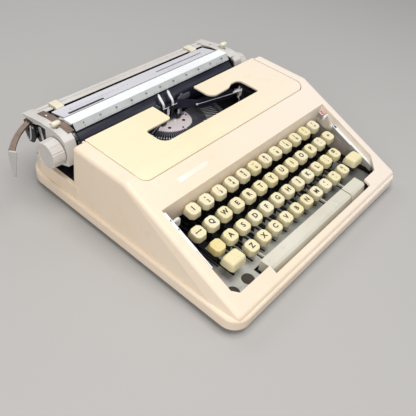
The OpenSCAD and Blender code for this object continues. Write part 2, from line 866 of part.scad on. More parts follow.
module carriage_bed() {
  color("gray") on_carriage() {
    difference() {
      union() {
        block([-plate_in, plate_in], [bed_front, bed_rear], [bed_z, bed_top]);
        for (s = [-1, 1], a = [-feed_angle, feed_angle]) feed_bracket(s * (plate_in - 9.5), a);
      }
      for (a = [-feed_angle, feed_angle])
        xrod(-plate_in, plate_in, feed_y(a), feed_z(a), 2 + run);
    }
  }
}

function feed_y(a) = platen_y + feed_off * sin(a);
function feed_z(a) = platen_z - feed_off * cos(a);

// Bearing of a feed roller on the bed
module feed_bracket(x, a) {
  xrod(x - 1, x + 1, feed_y(a), feed_z(a), 3.4);
  block([x - 1, x + 1], [feed_y(a) - 2.5, feed_y(a) + 2.5], [bed_z, feed_z(a)]);
}

module feed_roller(a) {
  half = plate_in - 7.5;
  color("#303034") on_carriage() {
    xrod(-half, half, feed_y(a), feed_z(a), 2);
    for (x = [-1, 0, 1] * platen_len * 0.32)
      xrod(x - platen_len * 0.09, x + platen_len * 0.09, feed_y(a), feed_z(a), feed_r);
  }
}

module feed_roller_front() { feed_roller(-feed_angle); }
module feed_roller_rear() { feed_roller(feed_angle); }

// Blocks under the bed that run on the rails
module slide_blocks() {
  color("#77706a") on_carriage() difference() {
    for (s = [-1, 1], y = [rail_front_y, rail_rear_y])
      block([s * 28 - 5, s * 28 + 5], [y - 4.4, y + 4.4], [rail_z - 5, bed_z]);
    for (y = [rail_front_y, rail_rear_y]) xrod(-60, 60, y, rail_z, rail_r + run);
  }
}

module end_plates() {
  color("#8a7a68") on_carriage() difference() {
    for (s = [0, 1]) mirror([s, 0, 0]) slab(plate_in, plate_out, [
      [bed_front, bed_z], [bed_rear, bed_z], [bar_rear_y, bar_rear_top - bar_rear_h],
      [bar_rear_y, bar_rear_top - 2], near_platen(21, 18.5), near_platen(5, 19), near_platen(-9, 14),
      [bed_front, platen_z - 2]
    ]);
    xrod(-body_w, body_w, platen_y, platen_z, shaft_r + run);
    xrod(-body_w, body_w, bail_y, bail_z, bail_pin_r + run);
  }
}

// Moulded cover over an end plate, with its rear arm down to rear_low
module end_cover(rear_low) {
  rear = bar_rear_y + bar_rear_d;
  difference() {
    slab(plate_out, end_out, [
      near_platen(-11, 14.5), near_platen(-5, 18.8), near_platen(5, 20), near_platen(25, 19),
      [rear, bar_rear_top], [rear, rear_low], near_platen(31, rear_low - platen_z), near_platen(23, 0),
      near_platen(9, -15), near_platen(-5, -15.5), near_platen(-15.5, -11.5), near_platen(-15, 2)
    ]);
    xrod(plate_out - 1, end_out + 1, platen_y, platen_z, shaft_r + 0.6);
  }
}

// Slot and cross pin for a small lever on an end cover
lever_slot_x = plate_out + 4.5;
lever_slot_w = 4;
small_pin_r = 1.2;
module small_lever_slot(y) {
  block([lever_slot_x, lever_slot_x + lever_slot_w], [y - 6, y + 6], [platen_z + 10.5, platen_z + 30]);
}
module small_lever_pin(y) {
  xrod(lever_slot_x - 1, lever_slot_x + lever_slot_w + 1, y, platen_z + 15, small_pin_r);
}
line_space_y = platen_y + 11;
release_y = platen_y + 17;

module end_cover_left() {
  color("#c9c7c1") on_carriage() mirror([1, 0, 0]) {
    difference() {
      end_cover(lever_low + lever_thick + slip);
      small_lever_slot(line_space_y);
      // Open side below the arm, where the line space mechanism shows
      slab(plate_out + end_t * 0.3, end_out + 1, [
        near_platen(18, -16), near_platen(18, 14.5), near_platen(26, 14.5), near_platen(33, 12.3),
        near_platen(33, -16)
      ]);
    }
    small_lever_pin(line_space_y);
    // Post and head that the return lever turns on
    translate([-lever_pivot[0], lever_pivot[1], lever_low - slip - 1.5]) {
      cylinder(h = lever_thick + 2 * slip + 2, r = 3);
      cylinder(h = 1.5, r = 4.6);
    }
  }
}

module end_cover_right() {
  color("#c9c7c1") on_carriage() {
    difference() {
      end_cover(bar_rear_top - bar_rear_h);
      small_lever_slot(release_y);
    }
    small_lever_pin(release_y);
  }
}

// Small lever in its slot, leaning by an angle
module small_lever(y, lean, tall) {
  x0 = lever_slot_x + slip;
  x1 = lever_slot_x + lever_slot_w - slip;
  z = platen_z + 15;
  difference() {
    union() {
      xrod(x0, x1, y, z, 3.4);
      translate([0, y, z]) rotate([lean, 0, 0]) block([x0, x1], [-1.8, 1.8], [0, tall]);
    }
    xrod(x0 - 1, x1 + 1, y, z, small_pin_r + run);
  }
}

module line_space_lever() {
  color("#ddd6bf") on_carriage() mirror([1, 0, 0]) small_lever(line_space_y, 10, 10);
}
module paper_release_lever() { color("#ddd6bf") on_carriage() small_lever(release_y, 12, 12); }

module rear_bar() {
  color("#cfcdc8") on_carriage() difference() {
    slab(-plate_out, plate_out, [
      [bar_rear_y, bar_rear_top - bar_rear_h], [bar_rear_y + bar_rear_d, bar_rear_top - bar_rear_h],
      [bar_rear_y + bar_rear_d, bar_rear_top - 2], [bar_rear_y + bar_rear_d - 2, bar_rear_top],
      [bar_rear_y, bar_rear_top]
    ]);
    // Groove for the margin stops
    block([-plate_out - 1, plate_out + 1], groove_y(), [bar_rear_top - 2, bar_rear_top + 1]);
  }
}
function groove_y() = [bar_rear_y + 5, bar_rear_y + 7.5];

// Margin stop: saddle on the rear bar with a tongue in its groove
module margin_stop(s) {
  x = s * (plate_in - 19.5);
  half = 5;
  low = bar_rear_top + slip;
  g = groove_y();
  color("#ddd6bf") on_carriage() {
    slab(x - half, x + half, [
      [bar_rear_y + 9, low], [bar_rear_y + 9, low + 2], [bar_rear_y - 3, low + 2.6],
      [bar_rear_y - 5, low + 1], [bar_rear_y - 5, low - 5], [bar_rear_y - slip, low - 5],
      [bar_rear_y - slip, low]
    ]);
    block([x - half, x + half], [g[0] + slip, g[1] - slip], [bar_rear_top - 1.4, low + tiny]);
  }
}
module margin_stop_left() { margin_stop(-1); }
module margin_stop_right() { margin_stop(1); }

// Bent sheet behind the platen that leads the paper in
module paper_table() {
  t = 1.5;
  half_top_table = plate_in - 6.5;
  color("#c4c4c2") on_carriage() difference() {
    union() {
      slab(-half_top_table, half_top_table, [
        near_platen(15, 20.8), near_platen(36, 16), near_platen(36, 16 - t), near_platen(18.8, 18.4),
        near_platen(18.8, 5), near_platen(17.3, 5), near_platen(17.3, 18.5), near_platen(15, 19.2)
      ]);
      slab(-plate_in, plate_in, [
        near_platen(17.3, 2), near_platen(18.8, 2), near_platen(18.8, 8), near_platen(17.3, 8)
      ]);
    }
    for (s = [0, 1]) mirror([s, 0, 0])
      block([22, half_top_table - 15], [platen_y + 24, platen_y + 26.5], [platen_z + 10, platen_z + 30]);
  }
}

module platen_roller() {
  color("#23232b") on_carriage() difference() {
    xrod(-platen_len / 2, platen_len / 2, platen_y, platen_z, platen_r);
    xrod(-platen_len, platen_len, platen_y, platen_z, shaft_r);
  }
}

module platen_shaft() {
  color("silver") on_carriage()
    xrod(-knob_in - knob_len + 3, knob_in + knob_len - 3, platen_y, platen_z, shaft_r);
}

module platen_ratchet() {
  teeth = 24;
  color("#a09a90") on_carriage() difference() {
    slab(-platen_len / 2 - 2.5, -platen_len / 2, [
      for (i = [0 : teeth - 1], e = [0, 1])
        [platen_y + (platen_r - 1.2 - 1.4 * e) * cos((i + e * 0.85) * 360 / teeth),
          platen_z + (platen_r - 1.2 - 1.4 * e) * sin((i + e * 0.85) * 360 / teeth)]
    ]);
    xrod(-platen_len, 0, platen_y, platen_z, shaft_r);
  }
}

module platen_knob() {
  difference() {
    union() {
      xrod(knob_in, knob_in + knob_len - 2, platen_y, platen_z, knob_r);
      translate([knob_in + knob_len - 2, platen_y, platen_z]) rotate([0, 90, 0])
        cylinder(h = 2, r1 = knob_r, r2 = knob_r - 1.5);
    }
    xrod(knob_in - 1, knob_in + knob_len - 3, platen_y, platen_z, shaft_r);
  }
}
module platen_knob_left() { color("#26262b") on_carriage() mirror([1, 0, 0]) platen_knob(); }
module platen_knob_right() { color("#26262b") on_carriage() platen_knob(); }

// Paper bail: a plate over the platen on two pinned arms, with a scale along its front
bail_half = plate_in - 3;
module bail_strip() {
  color("#e9e9e6") on_carriage() {
    slab(-bail_half, bail_half, [
      near_platen(-1, 23.2), near_platen(12, 22.4), near_platen(12, 20.9), near_platen(1, 21.6),
      near_platen(0.05, 22.63)
    ]);
    for (s = [0, 1]) mirror([s, 0, 0]) {
      slab(bail_half - plate_t, bail_half, [
        near_platen(1, 21.9), near_platen(12, 21.5), near_platen(21, 17), near_platen(21, 11.5),
        near_platen(16, 11.5), near_platen(9, 18.5), near_platen(1, 20.5)
      ]);
      xrod(bail_half - plate_t, plate_out, bail_y, bail_z, bail_pin_r);
    }
  }
}

module bail_scale() {
  color("#9b9b9b") on_carriage() slab(-bail_half + 1, bail_half - 1, [
    near_platen(-6.2, 16.8), near_platen(-1, 23.2), near_platen(0.05, 22.63), near_platen(-5.3, 16.1)
  ]);
}

// Bright lever at the left that returns the carriage and turns the platen
module return_lever() {
  w = 6.4;
  tab_w = 9.5;
  color("silver") on_carriage() translate([lever_pivot[0], lever_pivot[1], lever_low])
    rotate([0, 0, lever_angle]) difference() {
      union() {
        cylinder(h = lever_thick, r = 6);
        block([0, lever_reach], [-w / 2, w / 2], [0, lever_thick]);
        translate([lever_reach, 0, 0]) rotate([0, 90, 0]) rotate([0, 0, 180])
          linear_extrude(2.5) polygon([
            [-tab_tall, -tab_w / 4], [-tab_tall, tab_w / 4], [-tab_tall * 0.4, tab_w / 2],
            [lever_thick, tab_w / 2], [lever_thick, -tab_w / 2], [-tab_tall * 0.4, -tab_w / 2]
          ]);
      }
      translate([0, 0, -1]) cylinder(h = lever_thick + 2, r = 3 + run);
    }
}

base_pan();
body_shell();
rubber_feet();
ribbon_cover();
cover_hinge_pins();
side_frames();
keyboard_plate();
lever_fulcrum_rod();
bar_pivot_rod();
carriage_rails();
basket_posts();
number_keys();
number_levers();
upper_keys();
upper_levers();
home_keys();
home_levers();
lower_keys();
lower_levers();
strike_key();
strike_lever();
space_bar();
repeat_key();
shift_keys();
shift_shaft();
shift_lock_key();
backspace_key();
touch_lever();
ribbon_lever();
type_segment();
segment_plate();
typebars();
strike_typebar();
ribbon_cups();
ribbon_spool_left();
ribbon_spool_right();
ribbon_band();
ribbon_vibrator();
paper_fingers();
carriage_bed();
slide_blocks();
end_plates();
end_cover_left();
end_cover_right();
rear_bar();
paper_table();
platen_roller();
platen_shaft();
platen_ratchet();
platen_knob_left();
platen_knob_right();
feed_roller_front();
feed_roller_rear();
bail_strip();
bail_scale();
return_lever();
line_space_lever();
paper_release_lever();
margin_stop_left();
margin_stop_right();
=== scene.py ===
"""Flat portable manual typewriter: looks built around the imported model."""
import json
import math
import random

import bpy
import bmesh
from mathutils import Matrix, Vector


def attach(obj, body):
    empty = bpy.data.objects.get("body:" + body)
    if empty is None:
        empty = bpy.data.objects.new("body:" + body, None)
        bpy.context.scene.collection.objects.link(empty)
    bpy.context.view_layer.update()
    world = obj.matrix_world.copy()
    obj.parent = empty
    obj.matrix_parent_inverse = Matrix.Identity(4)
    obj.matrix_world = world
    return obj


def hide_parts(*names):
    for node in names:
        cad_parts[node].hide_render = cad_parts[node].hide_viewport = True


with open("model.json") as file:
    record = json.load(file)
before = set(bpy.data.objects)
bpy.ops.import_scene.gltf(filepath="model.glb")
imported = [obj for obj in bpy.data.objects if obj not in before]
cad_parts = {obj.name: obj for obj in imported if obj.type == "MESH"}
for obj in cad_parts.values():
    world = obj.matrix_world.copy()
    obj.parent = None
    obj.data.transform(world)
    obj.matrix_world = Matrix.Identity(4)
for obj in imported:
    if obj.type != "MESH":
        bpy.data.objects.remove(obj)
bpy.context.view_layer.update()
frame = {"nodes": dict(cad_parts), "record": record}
nodes = frame["nodes"]
MM = 0.001
scene = bpy.context.scene
draw = random.Random(11)

BODY_OF = {n: b for b, members in frame["record"]["behaviour"]["bodies"].items() for n in members}
SLOT_OF = {n: o.material_slots[0].material.name for n, o in nodes.items()}

# Main lines of the part, in millimetres, as in the part's source
TOP = 78.5
BEND = 1.0
SLOPE = 57.5 / 143.0
BODY_HALF_X, BODY_HALF_Y = 153.5, 145.0
WELL_WALL = 134.95
PLATEN_Y, PLATEN_Z = 95.0, 60.0
CARRIAGE_X = -10.0
BASKET_X = -9.0
PITCH = 19.0
KEY_TILT = 8.0
KEY_TALL = 7.3
KEY_R = 7.6
LIP_TOP = 18.0
BAR_STEP, BAR_REST, BAR_PIVOT_R = 4.0, 4.0, 31.0
TYPE_PITCH = 2.117
WELD = 0.002


def axes(x, y, z, place):
    """Place from its three axes and its origin."""
    return Matrix([[v[k] for v in (x, y, z, place)] for k in range(3)] + [(0, 0, 0, 1)])


def slope_z(y):
    return TOP - max(0.0, BEND - y) * SLOPE


# Camera, lights and floor

def make_camera():
    cam_data = bpy.data.cameras.new("camera")
    sensor, focal_px, picture_px = 36.0, 528.12, 416.0
    cam_data.sensor_width = sensor
    cam_data.sensor_fit = "HORIZONTAL"
    cam_data.lens = sensor * focal_px / picture_px
    cam_data.clip_start = 0.01
    cam = bpy.data.objects.new("camera", cam_data)
    scene.collection.objects.link(cam)
    right = (0.65057, -0.75065, 0.11527)
    up = (0.46398, 0.51301, 0.72218)
    back = (-0.60123, -0.41635, 0.68203)
    place = (-0.38569, -0.25672, 0.38581)
    cam.matrix_world = axes(right, up, back, place)
    scene.camera = cam


def area_light(name, place, target, size, watts, colour):
    data = bpy.data.lights.new(name, "AREA")
    data.shape = "RECTANGLE"
    data.size, data.size_y = size
    data.energy = watts
    data.color = colour
    light = bpy.data.objects.new(name, data)
    scene.collection.objects.link(light)
    light.location = place
    light.rotation_euler = (Vector(target) - Vector(place)).to_track_quat("-Z", "Y").to_euler()


def make_stage():
    mesh = bpy.data.meshes.new("floor")
    half = 12.0
    corners = [(-half, -half, 0), (half, -half, 0), (half, half, 0), (-half, half, 0)]
    mesh.from_pydata(corners, [], [(0, 1, 2, 3)])
    floor = bpy.data.objects.new("floor", mesh)
    scene.collection.objects.link(floor)
    mat = bpy.data.materials.new("floor")
    mat.use_nodes = True
    surface = mat.node_tree.nodes["Principled BSDF"].inputs
    surface["Base Color"].default_value = (0.45, 0.443, 0.433, 1)
    surface["Roughness"].default_value = 0.8
    mesh.materials.append(mat)
    middle = (0, 0, 0.05)
    area_light("key_light", (0.0, -0.1, 1.25), middle, (0.8, 0.8), 11.3, (1.0, 0.975, 0.94))
    area_light("side_light", (-1.0, -0.5, 0.55), middle, (0.6, 0.6), 6, (1.0, 0.96, 0.92))
    area_light("fill_light", (0.9, -0.9, 0.8), middle, (0.8, 0.8), 3, (0.97, 0.98, 1.0))
    area_light("back_light", (0.1, 1.0, 0.9), (0, 0.05, 0.05), (0.9, 0.5), 3, (1.0, 1.0, 1.0))
    world = bpy.data.worlds.new("studio")
    world.use_nodes = True
    backdrop = world.node_tree.nodes["Background"].inputs
    backdrop["Color"].default_value = (0.92, 0.94, 1.0, 1)
    backdrop["Strength"].default_value = 0.25
    scene.world = world
    scene.view_settings.view_transform = "Standard"


# Materials

def linear(code):
    """Display colour such as "e8dcc4" as the shader's linear colour."""
    def channel(i):
        v = int(code[i:i + 2], 16) / 255.0
        return v / 12.92 if v <= 0.04045 else ((v + 0.055) / 1.055) ** 2.4
    return (channel(0), channel(2), channel(4), 1.0)


class Paint:
    """A node material put together step by step."""

    def __init__(self, name):
        self.mat = bpy.data.materials.new(name)
        self.mat.use_nodes = True
        self.tree = self.mat.node_tree
        self.shader = self.tree.nodes["Principled BSDF"]
        self.coord = self.node("TexCoord").outputs["Object"]

    def node(self, kind):
        return self.tree.nodes.new("ShaderNode" + kind)

    def link(self, a, b):
        self.tree.links.new(a, b)

    def stretched(self, scale):
        n = self.node("Mapping")
        n.inputs["Scale"].default_value = scale
        self.link(self.coord, n.inputs["Vector"])
        return n.outputs["Vector"]

    def noise(self, scale, detail=3.0, rough=0.55, vector=None):
        n = self.node("TexNoise")
        n.inputs["Scale"].default_value = scale
        n.inputs["Detail"].default_value = detail
        n.inputs["Roughness"].default_value = rough
        self.link(vector or self.coord, n.inputs["Vector"])
        return n.outputs[0]

    def remap(self, value, low, high, to_low, to_high):
        n = self.node("MapRange")
        for i, v in enumerate((low, high, to_low, to_high)):
            n.inputs[i + 1].default_value = v
        self.link(value, n.inputs[0])
        return n.outputs[0]

    def mix(self, fac, a, b):
        """Blend of two colours, each a display colour or an output."""
        n = self.node("Mix")
        n.data_type = "RGBA"
        self.link(fac, n.inputs[0])
        for socket, colour in ((n.inputs[6], a), (n.inputs[7], b)):
            if isinstance(colour, str):
                socket.default_value = linear(colour)
            else:
                self.link(colour, socket)
        return n.outputs[2]

    # Pointiness ramp; the plastic look uses its concave side as dirt and painted shade in creases.
    def edges(self, low, high, amount):
        return self.remap(self.node("NewGeometry").outputs["Pointiness"], low, high, 0.0, amount)

    def across(self, low, high):
        n = self.node("SeparateXYZ")
        self.link(self.coord, n.inputs[0])
        return self.remap(n.outputs["X"], low, high, 0.0, 1.0)

    def attribute(self, name):
        n = self.node("Attribute")
        n.attribute_name = name
        return n.outputs["Fac"]

    def bump(self, height, strength, distance):
        n = self.node("Bump")
        n.inputs["Strength"].default_value = strength
        n.inputs["Distance"].default_value = distance
        self.link(height, n.inputs["Height"])
        self.link(n.outputs["Normal"], self.shader.inputs["Normal"])

    def done(self, colour, rough, **constants):
        self.link(colour, self.shader.inputs["Base Color"])
        self.link(rough, self.shader.inputs["Roughness"])
        for name, value in constants.items():
            self.shader.inputs[name.replace("_", " ")].default_value = value
        return self.mat


def plastic(name, base, aged, grime_and_shade, rough=0.42, patch=9.0, grain=1400.0, bump=0.15, dirt=0.25,
            tint=None, paler_painted_light=None):
    p = Paint(name)
    large = p.noise(patch, 3.0)
    middle = p.noise(patch * 9.0, 6.0, 0.65)
    fine = p.noise(grain, 2.0)
    colour = p.mix(p.remap(large, 0.34, 0.68, 0.0, 1.0), base, aged)
    # Painted light: the colour turns paler toward +X, standing for light on that side of the body.
    if paler_painted_light:
        colour = p.mix(p.across(-0.06, 0.12), colour, paler_painted_light)
    if tint:
        colour = p.mix(p.attribute("age"), colour, tint)
        # Painted shade: key flanks darken toward the grime colour by the per-vertex flank-shade value.
        colour = p.mix(p.remap(p.attribute("side"), 0.0, 1.0, 0.0, 0.5), colour, grime_and_shade)
    colour = p.mix(p.remap(middle, 0.56, 0.8, 0.0, dirt), colour, grime_and_shade)
    # Dirt and painted shade in creases: concave places, found by pointiness, darken toward the grime colour.
    colour = p.mix(p.edges(0.47, 0.40, 0.2), colour, grime_and_shade)
    p.bump(fine, bump, 0.00015)
    return p.done(colour, p.remap(middle, 0.3, 0.7, rough - 0.06, rough + 0.08))


def metal(name, base, dull, rough=0.28, along=(1.0, 1.0, 1.0), metallic=1.0, bump=0.05, spots=0.35,
          right=None):
    p = Paint(name)
    brushed = p.noise(60.0, 4.0, 0.6, p.stretched(along))
    blotch = p.noise(70.0, 6.0, 0.7)
    fine = p.noise(2200.0, 2.0, 0.5, p.stretched(along))
    colour = p.mix(p.remap(brushed, 0.35, 0.65, 0.0, 0.5), base, dull)
    colour = p.mix(p.remap(blotch, 0.52, 0.75, 0.0, spots), colour, dull)
    # Painted shade: the sheet darkens toward +X to the colour given as right.
    if right:
        colour = p.mix(p.across(-0.07, 0.07), colour, right)
    p.bump(fine, bump, 0.0001)
    return p.done(colour, p.remap(blotch, 0.3, 0.72, rough - 0.08, rough + 0.14), Metallic=metallic)


def rubber(name, base, dust, rough=0.5, bump=0.12):
    p = Paint(name)
    cloud = p.noise(24.0, 5.0, 0.6)
    fine = p.noise(1900.0, 3.0)
    colour = p.mix(p.remap(cloud, 0.4, 0.72, 0.0, 0.55), base, dust)
    p.bump(fine, bump, 0.0001)
    return p.done(colour, p.remap(cloud, 0.3, 0.7, rough - 0.08, rough + 0.1))


def woven(name, base, dust):
    p = Paint(name)
    wave = p.node("TexWave")
    wave.inputs["Scale"].default_value = 900.0
    wave.inputs["Distortion"].default_value = 0.6
    p.link(p.coord, wave.inputs["Vector"])
    cloud = p.noise(60.0, 4.0)
    colour = p.mix(p.remap(cloud, 0.4, 0.7, 0.0, 0.6), base, dust)
    p.bump(wave.outputs["Fac"], 0.3, 0.00012)
    return p.done(colour, p.remap(cloud, 0.3, 0.7, 0.6, 0.8))


def ink(name, base, faded):
    p = Paint(name)
    worn = p.noise(420.0, 4.0, 0.7)
    colour = p.mix(p.remap(worn, 0.5, 0.75, 0.0, 0.6), base, faded)
    p.bump(p.noise(2600.0, 2.0), 0.05, 0.00005)
    return p.done(colour, p.remap(worn, 0.3, 0.7, 0.42, 0.6))


LOOK = {
    # Shell and cover take a painted-light tone that turns paler toward +X.
    "shell": plastic("shell_plastic", "efdfc9", "ebd8c0", "aa9984", 0.40, dirt=0.14, paler_painted_light="efe3d5"),
    "cover": plastic("cover_plastic", "efe3c3", "ebddb6", "ab9a74", 0.38, dirt=0.14, paler_painted_light="efe2cf"),
    "key": plastic("key_plastic", "eae4ca", "e5dcbc", "8f8258", 0.45, 30.0, 2600.0, 0.25, 0.3, "e4d8a0"),
    "lock": plastic("lock_plastic", "e7d9a2", "e0cf90", "94834c", 0.45, 30.0, 2600.0, 0.25, 0.3, "decb8c"),
    "bar": plastic("bar_plastic", "d8d5c8", "cecaba", "8a8573", 0.42, 16.0, 2200.0, 0.2, 0.25),
    "grey": plastic("carriage_plastic", "d2cfcb", "c7c3be", "8a8680", 0.4, 14.0, 1600.0, 0.15, 0.25),
    # Grey for the inner faces of the well liners: painted shade.
    "rear": plastic("grey_web_painted_shade", "b0acaa", "a29e9b", "716d69", 0.36, 14.0, 1600.0, 0.1, 0.25),
    "knob": plastic("knob_plastic", "d2cec9", "c6c1bb", "7d7870", 0.45, 22.0, 2000.0, 0.2, 0.35),
    "stop": plastic("stop_plastic", "e8e2cf", "ded6bd", "948b6e", 0.42, 24.0, 2200.0, 0.2, 0.3),
    "white": plastic("bail_plastic", "f4f6f8", "e9edf0", "a9adb0", 0.32, 14.0, 1800.0, 0.08, 0.12),
    "liner": plastic("liner_plastic", "e9e6df", "dedad0", "9b968a", 0.4, 18.0, 2000.0, 0.12, 0.2),
    "table": metal("painted_sheet", "dedee4", "cbcbd2", 0.4, (1.0, 40.0, 40.0), 0.15, 0.04, 0.3),
    "scale": metal("scale_sheet", "c2c4c3", "a9abab", 0.38, (1.0, 40.0, 40.0), 0.35, 0.04, 0.3),
    "steel": metal("bright_steel", "c9c9cb", "8f8f93", 0.27, (1.0, 30.0, 30.0)),
    "dark": metal("dark_steel", "2b2b31", "47474d", 0.42, (30.0, 1.0, 30.0), 0.7),
    "segment": metal("segment_casting", "3a3a49", "2a2a35", 0.42, (1.0, 1.0, 1.0), 0.4),
    "typebar": metal("typebar_steel", "8e8e98", "57575f", 0.32, (20.0, 1.0, 20.0), 0.7),
    "satin": metal("satin_nickel", "ececee", "b4b4ba", 0.25, (20.0, 20.0, 1.0), 0.55, 0.02, 0.25),
    # Nickel parts in a near-white colour with little metal, so they stay bright inside the dark basket:
    # painted highlight.
    "bright": metal("bright_nickel_painted_highlight", "f1f1f3", "cfcfd4", 0.3, (20.0, 20.0, 1.0), 0.2, 0.02, 0.25),
    "smoke": rubber("smoke_plastic", "6a6c79", "7d7e89", 0.22, 0.03),
    "frame": metal("frame_steel", "3a3b40", "2a2b30", 0.45, (20.0, 1.0, 20.0), 0.7),
    # The guide sheet darkens toward +X: painted shade.
    "deck": metal("guide_sheet", "c9c9c3", "a5a6a1", 0.45, (1.0, 20.0, 1.0), 0.2, 0.06, 0.45, "767874"),
    "brown": metal("brown_steel", "8e7a6e", "6a574c", 0.4, (30.0, 1.0, 1.0), 0.55),
    "lever": metal("lever_chrome", "6e5d50", "4f4239", 0.2, (20.0, 1.0, 1.0), 0.75, 0.02, 0.3),
    "tab": plastic("tab_enamel", "c3c1bf", "b7b5b3", "8c8a88", 0.25, 16.0, 1800.0, 0.04, 0.12),
    # Black for enamelled parts, also used as painted shade in slots and grooves.
    "black": rubber("black_enamel_and_painted_shade", "0c0c10", "1c1c22", 0.35, 0.05),
    "chrome": metal("chrome", "b9b3ac", "86807a", 0.16, (20.0, 1.0, 1.0), 1.0, 0.02, 0.3),
    "plate": metal("segment_sheet", "e6dcdf", "cfc4c8", 0.42, (1.0, 1.0, 1.0), 0.1, 0.05, 0.4),
    "platen": rubber("platen_rubber", "131426", "26273b", 0.36),
    "foot": rubber("foot_rubber", "1b1b1d", "3a3936", 0.7),
    "spool": rubber("spool_plastic", "232327", "3c3c42", 0.4),
    "ribbon": woven("ribbon_weave", "14142a", "26263c"),
    "ink": ink("legend_ink", "1b1a18", "3f3b30"),
    "scale_ink": ink("scale_ink", "33363a", "6a6d70"),
    "red": ink("red_mark", "cf2130", "d9505a"),
    "blue": ink("blue_mark", "1b5f8c", "4a86a8"),
    "label": plastic("label_strip", "f4efe4", "ece5d6", "b3a995", 0.3, 20.0, 2400.0, 0.06, 0.15),
    "bumper": rubber("bumper_rubber", "39342b", "4d473d", 0.7),
}
LOOK_OF_SLOT = {
    "shell": "shell", "cover": "cover", "key": "key", "lock_key": "lock", "bar_key": "bar",
    "carriage_grey": "grey", "bail_white": "white", "scale_grey": "scale", "steel": "steel",
    "dark_steel": "dark", "frame_steel": "frame", "brown_steel": "brown", "chrome": "chrome",
    "platen": "platen", "foot": "foot", "spool": "spool", "ribbon": "ribbon",
}


# Mesh helpers, in millimetres

def emit(name, bm, look, body, stands_for=(), sharp=38.0):
    """Finished piece on its body, in place of the nodes it stands for."""
    bmesh.ops.recalc_face_normals(bm, faces=bm.faces)
    mesh = bpy.data.meshes.new(name)
    bm.to_mesh(mesh)
    bm.free()
    mesh.transform(Matrix.Scale(MM, 4))
    for polygon in mesh.polygons:
        polygon.use_smooth = True
    mesh.set_sharp_from_angle(angle=math.radians(sharp))
    mesh.materials.append(LOOK[look])
    obj = bpy.data.objects.new(name, mesh)
    scene.collection.objects.link(obj)
    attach(obj, body)
    if stands_for:
        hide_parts(*stands_for)
    return obj


def solid(node):
    """The node's own solid, in millimetres."""
    bm = bmesh.new()
    bm.from_mesh(nodes[node].data)
    bmesh.ops.scale(bm, vec=(1 / MM, 1 / MM, 1 / MM), verts=bm.verts)
    bmesh.ops.remove_doubles(bm, verts=bm.verts, dist=WELD)
    return bm


def soften(obj):
    """Even shading on broad faces beside rounded edges."""
    obj.modifiers.new("shade", "WEIGHTED_NORMAL").keep_sharp = True


def dress(node, width, look=None, angle=34.0, segments=2, name=None):
    """The node's own solid with its edges rounded, in place of the node."""
    bm = solid(node)
    bmesh.ops.dissolve_limit(bm, angle_limit=math.radians(0.6), verts=bm.verts, edges=bm.edges)
    picked = [
        e for e in bm.edges
        if len(e.link_faces) == 2 and e.calc_face_angle(0.0) > math.radians(angle)
    ]
    bmesh.ops.bevel(bm, geom=picked, offset=width, segments=segments, profile=0.5, affect="EDGES",
                    clamp_overlap=True, offset_type="OFFSET")
    look = look or LOOK_OF_SLOT[SLOT_OF[node]]
    soften(emit(name or node + "_finish", bm, look, BODY_OF[node], (node,)))


def paint(node, look=None):
    """The node as it is, in a look."""
    for slot in nodes[node].material_slots:
        slot.material = LOOK[look or LOOK_OF_SLOT[SLOT_OF[node]]]


def at(x, y, z):
    return Matrix.Translation((x, y, z))


def turned(degrees, axis="X"):
    return Matrix.Rotation(math.radians(degrees), 4, axis)


def upright(y):
    """Place that stands a flat plate up across Y."""
    return at(0, y, 0) @ turned(90)


def along_x(x=0.0, side=1):
    """Place for an outline in Y and Z that is raised along X."""
    return axes((0, 1, 0), (0, 0, 1), (side, 0, 0), (x, 0, 0))


def put(bm, place):
    bmesh.ops.transform(bm, matrix=place, verts=bm.verts)


def slice_at(bm, point, normal, clear=False):
    bmesh.ops.bisect_plane(bm, geom=bm.verts[:] + bm.edges[:] + bm.faces[:], plane_co=point,
                           plane_no=normal, clear_outer=clear)


def turns(count):
    return [2 * math.pi * i / count for i in range(count)]


def heading(path, i):
    """Direction of a path at one of its points."""
    return (Vector(path[min(len(path) - 1, i + 1)]) - Vector(path[max(0, i - 1)])).normalized()


def ring(half_x, half_y, z, power, count=40):
    """Level ring, round at power 2 and squarer above."""
    points = []
    for t in turns(count):
        c, s = math.cos(t), math.sin(t)
        points.append(Vector((
            math.copysign(abs(c) ** (2 / power), c) * half_x,
            math.copysign(abs(s) ** (2 / power), s) * half_y, z)))
    return points


def circle(x, y, r, count=24):
    return [(x + r * math.cos(t), y + r * math.sin(t)) for t in turns(count)]


def loft(bm, rings, place=None, age=0.0, side=None):
    """Skin over equal rings, with both ends capped, and the per-vertex age and flank-shade values that the
    key look reads; the flank-shade value paints shade on the sides of the keys.
    """
    place = place or Matrix.Identity(4)
    for name in ("age", "side"):
        if bm.verts.layers.float.get(name) is None:
            bm.verts.layers.float.new(name)
    aged, flank_shade = (bm.verts.layers.float.get(name) for name in ("age", "side"))
    rows = []
    for i, points in enumerate(rings):
        row = [bm.verts.new(place @ p) for p in points]
        for v in row:
            v[aged] = age
            v[flank_shade] = side[i] if side else 0.0
        rows.append(row)
    count = len(rows[0])
    for low, high in zip(rows, rows[1:]):
        for i in range(count):
            j = (i + 1) % count
            bm.faces.new((low[i], low[j], high[j], high[i]))
    bm.faces.new(list(reversed(rows[0])))
    bm.faces.new(rows[-1])


def lathe(bm, steps, place, count=20, power=2):
    """Turned shape from steps of radius and height."""
    loft(bm, [ring(r, r, z, power, count) for r, z in steps], place)


def hoop(bm, loops):
    """Closed moulding over equal loops, the last joined to the first."""
    rows = [[bm.verts.new(p) for p in points] for points in loops]
    count = len(rows[0])
    for i, low in enumerate(rows):
        high = rows[(i + 1) % len(rows)]
        for j in range(count):
            k = (j + 1) % count
            bm.faces.new((low[j], low[k], high[k], high[j]))


